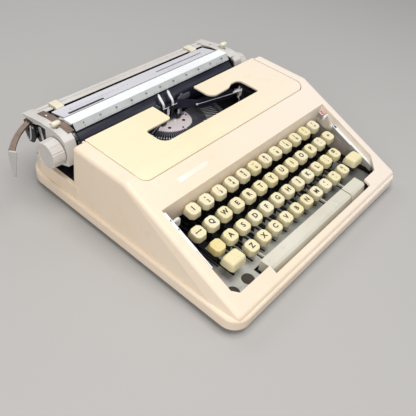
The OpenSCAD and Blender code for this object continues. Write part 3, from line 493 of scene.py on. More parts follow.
def box(bm, x, y, z, place=None):
    place = place or Matrix.Identity(4)
    v = [bm.verts.new(place @ Vector((a, b, c))) for c in z for b in y for a in x]
    for q in ((0, 2, 3, 1), (4, 5, 7, 6), (0, 1, 5, 4), (2, 6, 7, 3), (0, 4, 6, 2), (1, 3, 7, 5)):
        bm.faces.new([v[i] for i in q])


def rounded(corners, step=12.0):
    """Closed outline from corners (x, y, radius)."""
    out = []
    n = len(corners)
    for i in range(n):
        x, y, r = corners[i]
        here = Vector((x, y))
        back = (Vector(corners[i - 1][:2]) - here).normalized()
        on = (Vector(corners[(i + 1) % n][:2]) - here).normalized()
        corner = back.angle(on)
        if r < 0.05 or corner > math.radians(179.5):
            out.append(here)
            continue
        reach = r / math.tan(corner / 2)
        centre = here + (back + on).normalized() * (r / math.sin(corner / 2))
        first, last = here + back * reach - centre, here + on * reach - centre
        turn = math.pi - corner
        side = 1 if first.x * last.y - first.y * last.x > 0 else -1
        parts = max(2, int(math.degrees(turn) / step) + 1)
        start = math.atan2(first.y, first.x)
        for k in range(parts + 1):
            a = start + side * turn * k / parts
            out.append(centre + Vector((math.cos(a), math.sin(a))) * r)
    return out


def prism(bm, outline, low, high, place=None):
    loft(bm, [[Vector((a, b, z)) for a, b in outline] for z in (low, high)], place)


def from_object(obj):
    """Mesh of a curve object, which then goes."""
    deps = bpy.context.evaluated_depsgraph_get()
    mesh = bpy.data.meshes.new_from_object(obj.evaluated_get(deps))
    bm = bmesh.new()
    bm.from_mesh(mesh)
    bpy.data.meshes.remove(mesh)
    data = obj.data
    bpy.data.objects.remove(obj)
    bpy.data.curves.remove(data)
    return bm


def plate(loops, low, high, edge, rings=2):
    """Flat plate with rounded rims from closed outlines, the first one outside."""
    curve = bpy.data.curves.new("plate", "CURVE")
    curve.dimensions = "2D"
    curve.fill_mode = "BOTH"
    curve.extrude = (high - low) / 2 - edge
    curve.bevel_depth = edge
    curve.bevel_resolution = rings
    curve.offset = -edge
    for loop in loops:
        spline = curve.splines.new("POLY")
        spline.points.add(len(loop) - 1)
        for point, place in zip(spline.points, loop):
            point.co = (place[0], place[1], 0, 1)
        spline.use_cyclic_u = True
    obj = bpy.data.objects.new("plate", curve)
    scene.collection.objects.link(obj)
    bm = from_object(obj)
    bmesh.ops.remove_doubles(bm, verts=bm.verts, dist=WELD)
    put(bm, at(0, 0, (low + high) / 2))
    return bm


def join(bm, other):
    """The other mesh added to this one."""
    copy = bpy.data.meshes.new("copy")
    other.to_mesh(copy)
    other.free()
    bm.from_mesh(copy)
    bpy.data.meshes.remove(copy)


TEXT = {}


def lettering(bm, text, size, place, thick=0.035, settle=None):
    """A mark on a surface, centred at the place."""
    if (text, size) not in TEXT:
        curve = bpy.data.curves.new("mark", "FONT")
        curve.body = text
        curve.size = size
        curve.extrude = thick
        curve.offset = 0.03 * size
        curve.resolution_u = 3
        obj = bpy.data.objects.new("mark", curve)
        scene.collection.objects.link(obj)
        made = from_object(obj)
        bmesh.ops.remove_doubles(made, verts=made.verts, dist=WELD)
        mesh = bpy.data.meshes.new("mark")
        made.to_mesh(mesh)
        made.free()
        low = [min(v.co[k] for v in mesh.vertices) for k in (0, 1)]
        high = [max(v.co[k] for v in mesh.vertices) for k in (0, 1)]
        mesh.transform(at(-(low[0] + high[0]) / 2, -(low[1] + high[1]) / 2, 0))
        TEXT[(text, size)] = mesh
    made = bmesh.new()
    made.from_mesh(TEXT[(text, size)])
    for v in made.verts:
        if settle:
            v.co.z += settle(place @ Vector((v.co.x, v.co.y, 0)))
        v.co = place @ v.co
    join(bm, made)


# Keys

ROWS = {
    "lower": (-100.3, 29.1, -78.27, "ZXCVBNM,./"),
    "home": (-81.4, 36.6, -88.67, "ASDFGHJKL;'"),
    "upper": (-62.5, 44.1, -95.0, "QWERTYUIOP-+"),
    "number": (-43.6, 51.6, -101.33, "1234567890:="),
}
UPPER_MARKS = {
    "2": '"', "3": "/", "4": "$", "5": "%", "6": "_", "7": "&", "8": "'", "9": "(", "0": ")",
    ":": "!", "=": "?", "-": "*", ";": ":", "'": "@", ",": "<", ".": ">", "/": "½",
}
STRIKE = 5
KEY_AGES, NUMBER_AGES = (0.14, 0.18, 0.24, 0.34, 0.5, 0.62), (0.2, 0.32, 0.62)
DISH = 0.35
CAP_TOP = KEY_R - 1.0
CAP_RIM = CAP_TOP - 0.4


def key_place(x, y, z):
    return at(x, y, z) @ turned(KEY_TILT)


def dish_z(p):
    r = min(1.0, math.hypot(p.x, p.y) / CAP_RIM)
    return -DISH * (1 - r * r)


def cap_outline(r):
    """Square with cut and rounded corners."""
    near, soft = 0.57 * r, 0.3 * r
    corners = [(r, near), (near, r), (-near, r), (-r, near), (-r, -near), (-near, -r), (near, -r), (r, -near)]
    return rounded([(x, y, soft) for x, y in corners], 12.0)


def key_cap(bm, x, y, z, age):
    """Cap in steps of radius, height and how much painted shade each ring takes on the flank."""
    steps = [
        (KEY_R - 0.25, -KEY_TALL, 1.0), (KEY_R, -KEY_TALL + 0.35, 1.0),
        (KEY_R - 0.12, -KEY_TALL + 2.0, 0.85), (CAP_TOP + 0.14, -1.0, 0.5), (CAP_TOP, -0.45, 0.2),
        (CAP_TOP - 0.14, -0.16, 0.0), (CAP_RIM, 0.0, 0.0),
    ]
    for share in (0.82, 0.6, 0.38, 0.16):
        steps.append((CAP_RIM * share, -DISH * (1 - share * share), 0.0))
    rings = [[Vector((a, b, h)) for a, b in cap_outline(r)] for r, h, _ in steps]
    loft(bm, rings, key_place(x, y, z), age, [flank_shade for _, _, flank_shade in steps])


def legend(bm, text, x, y, z):
    place = key_place(x, y, z)
    back = place.inverted()

    def settle(p):
        return dish_z(back @ p)
    upper = UPPER_MARKS.get(text)
    if upper:
        lettering(bm, text, 5.2, place @ at(0, -2.3, 0.03), settle=settle)
        lettering(bm, upper, 4.8, place @ at(0, 2.5, 0.03), settle=settle)
    else:
        lettering(bm, text, 7.4, place @ at(0, 0.2, 0.03), settle=settle)


def make_keys():
    for row, (y, z, first, text) in ROWS.items():
        caps, marks = bmesh.new(), bmesh.new()
        for k, letter in enumerate(text):
            x = first + k * PITCH
            age = draw.choice(NUMBER_AGES if row == "number" else KEY_AGES)
            alone = row == "number" and k == STRIKE
            cap, mark = (bmesh.new(), bmesh.new()) if alone else (caps, marks)
            key_cap(cap, x, y, z, age)
            legend(mark, letter, x, y, z)
            if alone:
                emit("strike_cap", cap, "key", "strike_key", ("strike_key",))
                emit("strike_legend", mark, "ink", "strike_key")
        emit(row + "_caps", caps, "key", row + "_row", (row + "_keys",))
        emit(row + "_legends", marks, "ink", row + "_row")


def function_key(node, x, row, look, mark):
    """A key that the source moulds in one with its lever: the lever stays below the new cap."""
    y, z = ROWS[row][:2]
    stem_r, under_cap = 4, 3
    bm = solid(node)
    place = key_place(x, y, z)
    slice_at(bm, place @ Vector((0, 0, -KEY_TALL + 0.3)), place.to_3x3() @ Vector((0, 0, 1)), True)
    rim = [v for v in bm.verts
           if v.co.z > z - KEY_TALL - under_cap and math.hypot(v.co.x - x, v.co.y - y) > stem_r]
    bmesh.ops.delete(bm, geom=rim, context="VERTS")
    bmesh.ops.holes_fill(bm, edges=[e for e in bm.edges if e.is_boundary], sides=0)
    emit(node + "_lever", bm, "dark", BODY_OF[node], (node,))
    bm = bmesh.new()
    key_cap(bm, x, y, z, 0.4)
    emit(node + "_cap", bm, look, BODY_OF[node], (node,))
    if mark:
        bm = bmesh.new()
        head = [(2.6, 0.45), (2.6, 1.15), (4.2, 0.0), (2.6, -1.15), (2.6, -0.45)]
        arrow = head + [(-a, b) for a, b in reversed(head)]
        prism(bm, arrow, -DISH - 0.05, -DISH + 0.2, place)
        emit(node + "_mark", bm, "ink", BODY_OF[node])


def shift_caps():
    """Two broad shift keys, nearly square."""
    bm = bmesh.new()
    y, top, half_x, half_y, tall = -98.3, 32.1, 11.0, 8.5, 9.0
    steps = (
        (0.4, -tall, 6), (0.0, -tall + 0.5, 6), (0.35, -tall + 3.0, 6), (1.2, -2.0, 6), (1.5, -1.2, 6),
        (2.1, -0.7, 6), (2.6, -0.15, 6), (3.1, 0.0, 6), (4.6, -0.08, 5), (7.0, -0.15, 4),
    )
    rings = [ring(half_x - inset, half_y - inset, h, power, 56) for inset, h, power in steps]
    for x in (-103.5, 120.0):
        loft(bm, rings, at(x, y, top), 0.5)
    emit("shift_caps", bm, "key", "shift", ("shift_keys",))


def bar_keys():
    """The two bars, each with the sloping face along its front edge."""
    rear, face, top, step, foot = -128.9, -131.3, 21.9, 13.6, 11.6
    profile = [(rear, top), (face, step), (face, foot), (rear, foot)]
    for node, left, right in (("space_bar", -83.2, 64.7), ("repeat_key", 66.8, 95.2)):
        dress(node, 0.7, "bar", segments=3)
        bm = bmesh.new()
        prism(bm, profile, left, right, along_x())
        bmesh.ops.bevel(bm, geom=bm.edges[:], offset=0.4, segments=2, profile=0.5, affect="EDGES")
        emit(node + "_front", bm, "bar", BODY_OF[node])


# Body

def make_cover():
    """Hinged ribbon cover with the type opening at its rear edge."""
    half, front, rear, step, mouth = 131.5, -7.5, 72.0, 45.0, 19.5
    left, right = BASKET_X - 32.0, BASKET_X + 32.0
    outline = rounded([
        (-half, rear, 1.2), (-half, front, 10), (half, front, 10), (half, rear, 1.2),
        (right, rear, 1.0), (right, step - 0.6, 10), (right + 31, step + 0.2, 16),
        (right + 40, step + 4.6, 9), (76.5, step + 4.6, 6), (76.5, mouth, 3), (-77.5, mouth, 10),
        (-77.5, step, 4), (left, step, 3.5), (left, rear, 1.0),
    ], 9.0)
    thick, soft = 2.4, 5.0
    bm = plate([outline], -thick, 0.0, 0.55, 3)
    for i in range(-4, 5):
        slice_at(bm, (0, BEND + soft * i / 4, 0), (0, 1, 0))
    for v in bm.verts:
        lead = BEND - v.co.y
        if lead > soft:
            drop = lead * SLOPE
        elif lead > -soft:
            drop = SLOPE * (lead + soft) ** 2 / (4 * soft)
        else:
            drop = 0.0
        v.co.z += TOP - drop
    tab = rounded([(62, 76.4, 0.3), (62, 70, 3.5), (70, 70, 3.5), (70, 76.4, 0.3)], 15)
    for side in (-1, 1):
        prism(bm, tab, *sorted((side * (half - 3.5), side * (half - 0.5))), along_x())
    soften(emit("cover_panel", bm, "cover", "cover", ("ribbon_cover",), 30))


def make_body():
    dress("body_shell", 0.7, "shell", 40.0, 2, "shell_moulding")
    dress("base_pan", 0.5)
    for node in ("rubber_feet", "cover_hinge_pins", "side_frames", "lever_fulcrum_rod", "bar_pivot_rod",
                 "carriage_rails", "basket_posts", "number_levers", "upper_levers", "home_levers",
                 "lower_levers", "strike_lever", "shift_shaft"):
        paint(node)
    paint("keyboard_plate", "deck")
    side_lever("touch_lever", -1, 122.3)
    side_lever("ribbon_lever", 1, 125.6)
    body_lip()
    deck_slots()


def body_lip():
    """Rounded shoulder over the stepped lip of the shell."""
    bm = bmesh.new()
    loops = []
    for inset, drop in ((0.02, 2.5), (0.1, 1.8), (0.4, 1.05), (0.95, 0.45), (1.7, 0.1), (2.5, -0.02),
                        (2.6, 0.4), (1.7, 2.5)):
        x, y = BODY_HALF_X - inset, BODY_HALF_Y - inset
        front, rear = 17.0 - inset, 25.0 - inset
        outline = rounded([(-x, -y, front), (x, -y, front), (x, y, rear), (-x, y, rear)], 6)
        loops.append([Vector((a, b, LIP_TOP - drop)) for a, b in outline])
    hoop(bm, loops)
    emit("body_lip", bm, "shell", "body")


def deck_slots():
    """Black strips on the rear deck beside the carriage opening: painted shade that makes the opening look
    wider.
    """
    bm = bmesh.new()
    deck = 34.0
    for side in (-1, 1):
        outline = [(138.9, 30.0), (139.45, 30.0), (139.45, deck + 0.02), (146.0, deck + 0.02),
                   (146.0, deck + 0.2), (138.9, deck + 0.2)]
        loft(bm, [[Vector((side * a, y, b)) for a, b in outline] for y in (72.2, 100.0, 132.8)])
    emit("deck_slots", bm, "black", "body")


def side_lever(node, side, inner):
    """Lever on the wall of the well, with a rounded finger paddle."""
    bm = bmesh.new()
    hub_y, hub_z, reach = -54.5, 44.2, 13.0
    wall = along_x(0.0, side)
    prism(bm, circle(hub_y, hub_z, 3.0), 132.5, 134.4, wall)
    on = Vector((8.8, 11.0)).normalized()
    out = Vector((-on.y, on.x)) * 1.5
    base = Vector((hub_y, hub_z))
    tip = base + on * reach
    prism(bm, [base + out, base - out, tip - out, tip + out], 132.6, 134.3, wall)
    low = 46.6 if side < 0 else 50.0
    paddle = rounded([(inner, 56.1, 2.6), (inner, low, 1.2), (127.9, low, 0.8), (128.3, 53.0, 0.4),
                      (134.3, 53.4, 0.4), (134.3, 55.9, 0.4), (130.6, 56.1, 1.0)], 15)
    made = plate([[(-a, b) for a, b in reversed(paddle)] if side < 0 else paddle], -1.4, 1.4, 0.6, 3)
    put(made, upright(-45.7))
    join(bm, made)
    emit(node + "_paddle", bm, "liner", node, (node,))


def strip(bm, x, y, top, deep, r=0.3):
    """Bar along the slope beside the well."""
    outline = rounded([(x[0], 0.0, r), (x[0], -deep, r), (x[1], -deep, r), (x[1], 0.0, r)], 30)
    loft(bm, [[Vector((a, py, slope_z(py) - top + b)) for a, b in outline] for py in y])


def well_trim():
    """Pale ledges and webs along the sides of the key well, the webs grey as painted shade, with a painted
    highlight strip along the left rim and the marks of the side levers.
    """
    ledges_and_highlight, webs, ledge = bmesh.new(), bmesh.new(), 7.6
    for side in (-1, 1):
        wide, slim = (sorted((side * x, side * WELL_WALL)) for x in (130.2, 131.4))
        for flange, span in ((wide, (-36.0, -41.0)), (wide, (-58.4, -86.0)), (slim, (-86.0, -118.5))):
            strip(ledges_and_highlight, flange, span, ledge, 0.9)
        for span in ((-36.0, -41.0), (-58.4, -118.5)):
            # Webs in a grey look: painted shade on the liner's inner face.
            strip(webs, sorted((side * 131.5, side * 132.2)), span, ledge + 0.85, 7.0)
    # Painted highlight: thin white strips along the left rim of the well.
    strip(ledges_and_highlight, (-136.2, -133.4), (-38.0, -78.0), -0.3, 0.28, 0.08)
    strip(ledges_and_highlight, (-134.8, -133.6), (-78.0, -97.0), -0.3, 0.28, 0.08)
    emit("well_ledges_and_rim_highlight", ledges_and_highlight, "white", "body")
    emit("well_webs", webs, "rear", "body")
    red, blue = bmesh.new(), bmesh.new()
    strip(red, (131.2, 134.3), (-36.4, -40.7), ledge - 0.1, 0.12, 0.03)
    strip(blue, (131.2, 134.0), (-58.8, -62.0), ledge - 0.1, 0.12, 0.03)
    for x, y in ((-134.9, -45.4), (-134.5, -55.2)):
        strip(blue, (x - 0.7, x + 0.5), (y, y - 1.6), -0.4, 0.12, 0.03)
    emit("red_mark", red, "red", "body")
    emit("blue_marks", blue, "blue", "body")


def label_strip():
    """Plain bare strip on the slope between the cover and the keys."""
    x, y, half, tall = -79.0, -21.5, 21, 2.5
    corners = ((-half, -tall), (half, -tall), (half, tall), (-half, tall))
    bm = plate([rounded([(a, b, 0.5) for a, b in corners], 30)], 0.0, 0.25, 0.1, 1)
    put(bm, at(x, y, slope_z(y)) @ Matrix.Rotation(math.atan(SLOPE), 4, "X"))
    emit("label_strip", bm, "label", "body")


def plate_bumpers():
    """Rubber plugs in the two holes at the front left of the guide plate."""
    bm = bmesh.new()
    steps = ((7.4, 7.7), (7.4, 9.15), (6.35, 9.2), (6.35, 10.3), (5.9, 10.6), (5.2, 10.5), (4.4, 9.9),
             (1.0, 9.7))
    for x in (-121.0, -99.0):
        lathe(bm, steps, at(x, -115.0, 0), 40, 2.6)
    emit("plate_bumpers", bm, "bumper", "body")


# Type basket and ribbon

def sweep(bm, path, half, thick, x=0.0):
    """Strip of a width along X that follows a path in Y and Z."""
    rings = []
    for i, (y, z) in enumerate(path):
        before, after = path[max(0, i - 1)], path[min(len(path) - 1, i + 1)]
        on = Vector((0, after[0] - before[0], after[1] - before[1])).normalized()
        up = Vector((1, 0, 0)).cross(on)
        w = half[i] if isinstance(half, list) else half
        flat, deep = w - 0.25, thick / 2
        section = [(-w, 0), (-flat, -deep), (flat, -deep), (w, 0), (flat, deep), (-flat, deep)]
        centre = Vector((x, y, z))
        rings.append([centre + Vector((a, 0, 0)) + up * b for a, b in section])
    loft(bm, rings)


def tube(bm, path, radius, sides=10):
    """Round wire along a path, of one radius or a radius for each point."""
    rings = []
    for i, point in enumerate(path):
        on = heading(path, i)
        side = on.cross(Vector((0.31, 0.2, 0.93))).normalized()
        up = side.cross(on)
        r = radius[i] if isinstance(radius, list) else radius
        rings.append([Vector(point) + (side * math.cos(t) + up * math.sin(t)) * r for t in turns(sides)])
    loft(bm, rings)


SEGMENT = at(BASKET_X, 77.72, 45.74) @ turned(-4.0)


def segment_disc():
    """Bright half disc with its screws, a bright pad on it, and painted highlights round it: bright boxes on
    the typebar heels and bright strips along the typebars' top edges.
    """
    r = 27.4
    parts = 48
    lower = [math.pi * (1 + k / parts) for k in range(parts + 1)]
    half = [(r * math.cos(t), r * math.sin(t)) for t in lower]
    bm = plate([half, circle(-12, -4, 2.0), circle(12, -4, 2.0)], -3.0, -1.2, 0.25, 2)
    put(bm, SEGMENT)
    emit("segment_disc", bm, "plate", "basket", ("segment_plate",))
    bm = bmesh.new()
    steps = ((1.0, -1.3), (1.0, -0.75), (0.82, -0.5), (0.6, -0.5), (0.55, -0.8))
    for x, y, r in ((-11.0, -13.0, 1.9), (12.5, -12.6, 1.9), (-22.5, -6.5, 1.1), (22.5, -6.5, 1.1),
                    (1.0, -22.5, 1.1)):
        lathe(bm, [(r * k, z) for k, z in steps], SEGMENT @ at(x, y, 0))
    emit("disc_screws", bm, "dark", "basket")
    bm = bmesh.new()
    steps = ((2.2, -1.3), (2.2, -0.6), (1.9, -0.35), (1.2, -0.35), (0.9, -0.9))
    lathe(bm, steps, SEGMENT @ at(4.6, -7.5, 0), 24)
    # Thin bright strips on the tops of the outer typebars: painted highlights.
    edges = bmesh.new()
    front, last, count = 10, 19, 22
    for i in range(-count, count + 1):
        turn = SEGMENT @ turned(BAR_STEP * i, "Z")
        # Bright heel boxes: painted highlights on the typebars.
        if i and i <= front:
            box(bm, (-0.65, 0.65), (-42.2, -40.2), (-0.8, 1.0), turn)
        if front < abs(i) <= last:
            lean = turn @ at(0, -BAR_PIVOT_R, 0) @ turned(BAR_REST)
            box(edges, (-0.42, 0.42), (-30.0, -13.0), (0.9, 1.14), lean)
    emit("typebar_heel_highlights_and_pad", bm, "bright", "basket")
    emit("typebar_edge_highlights", edges, "bright", "basket")


PRONGS = (-19.5, -5.3)
SPOOL_X, SPOOL_Y = 72, 50
BEND_X, BEND_Y = 30, 62


def vibrator():
    """Dark carrier on the guide posts and the bright prongs that hold the ribbon."""
    foot = bmesh.new()
    made = plate([
        rounded([(-15.4, -3.0, 1.3), (-8.8, -3.0, 1.3), (-8.0, 0.3, 1.0), (8.0, 0.3, 1.0), (8.8, -3.0, 1.3),
                 (15.4, -3.0, 1.3), (15.4, 2.68, 1.0), (-15.4, 2.68, 1.0)], 20),
        circle(-12, 0, 1.8), circle(12, 0, 1.8),
    ], 46.8, 49.7, 0.3, 1)
    put(made, at(BASKET_X, 73.72, 0))
    join(foot, made)
    for x in PRONGS:
        sweep(foot, [(75.6, 47.5), (75.7, 54.0), (75.7, 60.0), (75.7, 64.6)], [1.7, 1.7, 1.6, 1.6], 0.9, x)
    emit("vibrator_carrier", foot, "dark", "vibrator", ("ribbon_vibrator",))
    bm = bmesh.new()
    path = [(75.6, 63.5), (75.8, 67.0), (76.8, 69.4), (79.0, 71.6), (82.0, 74.2), (84.4, 76.8), (85.2, 78.4)]
    for x in PRONGS:
        sweep(bm, path, [1.6, 1.6, 1.6, 1.7, 1.8, 1.5, 0.6], 1.0, x)
    hook = [(74.6, 49.0), (74.4, 53.0), (74.1, 57.0), (74.5, 61.0), (74.9, 63.5)]
    sweep(bm, hook, [1.3, 1.5, 2.0, 1.8, 0.7], 0.7, BASKET_X - 4.4)
    for span in ((-19.0, -16.5, -14.0, -11.6), (-6.4, -4.0, -1.5, 0.6)):
        tube(bm, [(x, 74.9, 64.2 + 0.4 * math.sin(x)) for x in span], 0.34, 8)
    emit("ribbon_prongs", bm, "bright", "vibrator", ("ribbon_vibrator",))


def fingers():
    """Card guides on the segment plate, in front of the platen."""
    bm = bmesh.new()
    for side in (-1, 1):
        x, y = BASKET_X + side * 19.5, 77.8
        box(bm, (x - 2.5, x + 2.5), (73.25, 78.3), (44.9, 47.4))
        sweep(bm, [(y, 45.2), (y, 52), (y, 60), (y, 67), (y, 70.4), (77.9, 71.6)],
              [2.5, 2.5, 2.5, 2.5, 2.2, 1.2], 0.9, x)
        left, right = sorted((BASKET_X + side * 13.5, BASKET_X + side * 34.0))
        wing = rounded([(left, 61.8, 2), (right, 61.8, 2), (right, 69.0, 3), (left, 69.0, 3)], 15)
        made = plate([wing], -0.4, 0.4, 0.15, 1)
        put(made, upright(y))
        join(bm, made)
    emit("card_guides", bm, "smoke", "basket", ("paper_fingers",))


def ribbon():
    """The inked band, taut from spool to spool through the prongs."""
    gate, gate_y = 14, 76.55
    line = [(-SPOOL_X, SPOOL_Y), (BASKET_X - BEND_X, BEND_Y), (BASKET_X - gate, gate_y),
            (BASKET_X + gate, gate_y), (BASKET_X + BEND_X, BEND_Y), (SPOOL_X, SPOOL_Y)]
    points, parts = [], 6
    for (x0, y0), (x1, y1) in zip(line, line[1:]):
        for k in range(parts):
            points.append(Vector((x0 + (x1 - x0) * k / parts, y0 + (y1 - y0) * k / parts, 0)))
    points.append(Vector((*line[-1], 0)))
    rings = []
    low, tall, half = 56.0, 11.0, 0.14
    for i, p in enumerate(points):
        on = heading(points, i)
        out = Vector((-on.y, on.x, 0)) * half
        section = [(-1, 0.0), (1, 0.0), (1, 0.5), (1, 1.0), (-1, 1.0), (-1, 0.5)]
        rings.append([p + out * a + Vector((0, 0, low + tall * b)) for a, b in section])
    bm = bmesh.new()
    loft(bm, rings)
    obj = emit("ribbon_cloth", bm, "ribbon", "vibrator", ("ribbon_band",))


def ribbon_guides():
    """Bright posts on the rim of each cup, with the wire, bracket and spring that lead the band."""
    bm = bmesh.new()
    for side in (-1, 1):
        for x, y in ((77.6, 43.6), (79.6, 48.0)):
            tube(bm, [(side * x, y, z) for z in (54.2, 60, 66, 68.6, 69)], [1.0, 1.0, 1.0, 1.0, 0.7], 12)
        corners = [(side * 61.5, 46.4, 0.8), (side * 78.0, 42.2, 1.2), (side * 81.2, 48.6, 1.2)]
        join(bm, plate([rounded(corners if side > 0 else corners[::-1], 20)], 66.4, 67.3, 0.25, 1))
        first, last = Vector((side * SPOOL_X, SPOOL_Y)), Vector((BASKET_X + side * BEND_X, BEND_Y))
        on = (last - first).normalized()
        front = Vector((-on.y, on.x)) if on.x < 0 else Vector((on.y, -on.x))
        path, thick = [(side * 79.6, 47.6, 62.6)], [0.5]
        parts, clear, wire = 8, 1.1, 0.42
        for k in range(parts + 1):
            q = first + (last - first) * k / parts + front * clear
            path.append((q.x, q.y, 62.4 - 0.4 * k / parts))
            thick.append(wire)
        tip = Vector(path[-1])
        for far, r in ((0.6, 1.1), (1.6, 1.2), (2.4, 0.8)):
            path.append(tuple(tip + Vector((on.x, on.y, 0)) * far))
            thick.append(r)
        tube(bm, path, thick, 8)
        spring = ((73.5, 44.6, 66.5), (75.6, 43.5, 62.8), (72.6, 42.8, 59.4), (74.8, 42.2, 56.0),
                  (72.8, 41.6, 52.0))
        tube(bm, [(side * x, y, z) for x, y, z in spring], 0.8, 8)
    emit("ribbon_guides", bm, "bright", "body")


def make_basket():
    paint("type_segment", "segment")
    paint("typebars", "typebar")
    paint("strike_typebar", "typebar")
    segment_disc()
    for node in ("ribbon_cups", "ribbon_spool_left", "ribbon_spool_right"):
        paint(node)
    vibrator()
    fingers()
    ribbon()
    ribbon_guides()


# Carriage

def knob(node, side):
    """Platen knob with broad grip flats and a sunk end."""
    bm = bmesh.new()
    inner, length, radius = 137.0, 13.7, 14.6
    flats, per, groove = 12, 8, 0.9
    rings = []
    for along, r, grip in (
        (0.0, radius - 1.0, 0.0), (0.4, radius - 0.3, 0.5), (1.0, radius, 1.0),
        (length - 2.2, radius - 0.5, 1.0), (length - 1.0, radius - 0.8, 0.8),
        (length - 0.2, radius - 1.5, 0.3), (length, radius - 2.1, 0.0), (length, radius - 2.9, 0.0),
        (length - 0.8, radius - 3.3, 0.0), (length - 0.8, radius - 8.0, 0.0), (length - 0.6, 1.0, 0.0),
    ):
        points = []
        for i, t in enumerate(turns(flats * per)):
            phase = (i % per) / per - 0.5
            flat = math.cos(math.pi / flats) / math.cos(phase * 2 * math.pi / flats)
            rr = r * (1 + grip * (flat - 1)) - (groove * grip if i % per == 0 else 0.0)
            points.append(Vector((side * (inner + along), rr * math.cos(t), rr * math.sin(t))))
        rings.append(points)
    loft(bm, rings, at(CARRIAGE_X, PLATEN_Y, PLATEN_Z))
    emit(node + "_grip", bm, "knob", "platen", (node,), 24)


def return_lever():
    """Bowed bright strip with a hanging finger tab."""
    bm = bmesh.new()
    pivot = Vector((-141.0, 141.0, 0.0))
    low, thick = 68.35, 2.9
    angle = math.radians(215.0)
    on = Vector((math.cos(angle), math.sin(angle), 0))
    out = Vector((on.y, -on.x, 0))
    rings, reach, steps = [], 55.0, 18
    behind, most, broad, waist = 2.0, 3.6, 3.1, 0.4
    for i in range(steps + 1):
        s = -behind + (reach + behind) * i / steps
        bow = most * math.sin(math.pi * max(0.0, s) / reach)
        half = broad - waist * math.sin(math.pi * min(1.0, max(0.0, s) / reach))
        centre = pivot + on * s + out * bow
        z0, z1, edge = low + 0.6, low + thick - 0.4, half + 0.25
        section = [(-half, z0), (half, z0), (edge, (z0 + z1) / 2), (half, z1), (-half, z1),
                   (-edge, (z0 + z1) / 2)]
        rings.append([centre + out * a + Vector((0, 0, b)) for a, b in section])
    loft(bm, rings)
    boss_r = 6.0
    lathe(bm, ((boss_r, low), (boss_r, low + thick)), at(*pivot), 40)
    emit("return_lever_strip", bm, "lever", "return_lever", ("return_lever",))
    tab = rounded([(-5.2, 2.9, 1.0), (-5.0, -5.0, 5.0), (-2.7, -15.5, 8.0), (-0.8, -28.8, 0.8),
                   (1.1, -28.8, 0.8), (2.2, -14.0, 8.0), (2.8, 2.9, 0.8)], 12)
    made = plate([tab], 0.0, 2.2, 0.7, 3)
    end = pivot + on * (reach + 0.1)
    put(made, axes(out, (0, 0, 1), on, (end.x, end.y, low)))
    emit("return_lever_tab", made, "tab", "return_lever", ("return_lever",))


def line_space_works():
    """Dark detent plates, with screws, spring and arm, in the open side of the left end cover."""
    place = along_x(CARRIAGE_X - 127.2, -1)
    bm = bmesh.new()
    inner = rounded([(113.6, 56.5, 1), (121, 47, 3), (130, 41.5, 3), (138, 45, 4), (145, 58, 4),
                     (143, 65.8, 2), (126, 66.8, 2), (113.6, 66.8, 1)], 15)
    join(bm, plate([inner, circle(134, 60, 2.6), circle(119, 61.5, 1.6)], 0.0, 2.2, 0.4, 2))
    outer = rounded([(132, 55, 3), (137.5, 44, 2), (145, 42.5, 3), (149.8, 52, 3), (150.2, 66.9, 1.5),
                     (133, 66.9, 1.5)], 15)
    join(bm, plate([outer, circle(142, 58, 2.2)], 5.6, 8.2, 0.4, 2))
    for a, b in ((136.5, 62.5), (140.0, 48.5)):
        prism(bm, circle(a, b, 2.4), 2.1, 5.8)
    put(bm, place)
    emit("detent_plates", bm, "black", "carriage")
    bm = bmesh.new()
    steps = ((1, 8.1), (1, 8.7), (0.7, 8.95), (0.5, 8.95), (0.4, 8.6))
    for a, b, r in ((147.0, 61.5, 1.5), (135.2, 64.0, 1.1), (145.6, 46.6, 1.3)):
        lathe(bm, [(r * k, z) for k, z in steps], at(a, b, 0))
    tube(bm, [(138.2, 65.6, 8.6), (138.6, 58, 8.7), (139.4, 50, 8.7), (141.0, 46.6, 8.7), (143.4, 46.0, 8.7)],
         [0.8, 0.95, 0.95, 0.9, 0.6], 8)
    arm = rounded([(125.4, 51.0, 1.6), (129.2, 49.6, 1.6), (134.4, 63.6, 1.6), (130.4, 65.4, 1.6)], 15)
    join(bm, plate([arm], 2.15, 3.4, 0.4, 2))
    put(bm, place)
    emit("detent_works", bm, "satin", "carriage")


def end_ledges():
    """Steel flanges along the top of the end plates, with their screws."""
    heads = bmesh.new()
    line = [(89.0, 78.62), (95.0, 79.4), (100.0, 80.0), (110.0, 79.5), (120.0, 79.0), (128.0, 77.56),
            (137.0, 75.93)]
    under, over = 0.03, 0.7
    for side, end, look, slot in ((-1, "left", "brown", "brown_steel"),
                                  (1, "right", "grey", "carriage_grey")):
        bm = bmesh.new()
        x = sorted((CARRIAGE_X + side * 119.6, CARRIAGE_X + side * 127.4))
        section = ((x[0], under), (x[1], under), (x[1], over), (x[0], over))
        loft(bm, [[Vector((a, y, z + b)) for a, b in section] for y, z in line])
        emit("end_flange_" + end, bm, look, "carriage")
        head = ((1.5, 0.5), (1.5, 1.1), (1.2, 1.35), (0.9, 1.35), (0.8, 1.0))
        lathe(heads, head, at(CARRIAGE_X + side * 124.6, 126.0, 77.9))
    emit("flange_screws", heads, "steel", "carriage")


def margin_rack():
    """Toothed black bar between the paper table and the rear bar, its black standing as painted shade in the
    groove, with a thin black facing on the bar that is painted shade.
    """
    bm = bmesh.new()
    half, first, teeth = 121.45, -117.5, 112
    span = (CARRIAGE_X - half, CARRIAGE_X + half)
    box(bm, span, (132.6, 137.3), (64.4, 66.9))
    # Thin black facing on the rear bar: painted shade.
    box(bm, span, (137.75, 138.02), (66.8, 72.9))
    for k in range(teeth):
        x = CARRIAGE_X + first + k * TYPE_PITCH
        box(bm, (x - 0.5, x + 0.5), (132.7, 135.2), (66.85, 68.0))
    emit("margin_rack", bm, "black", "carriage")


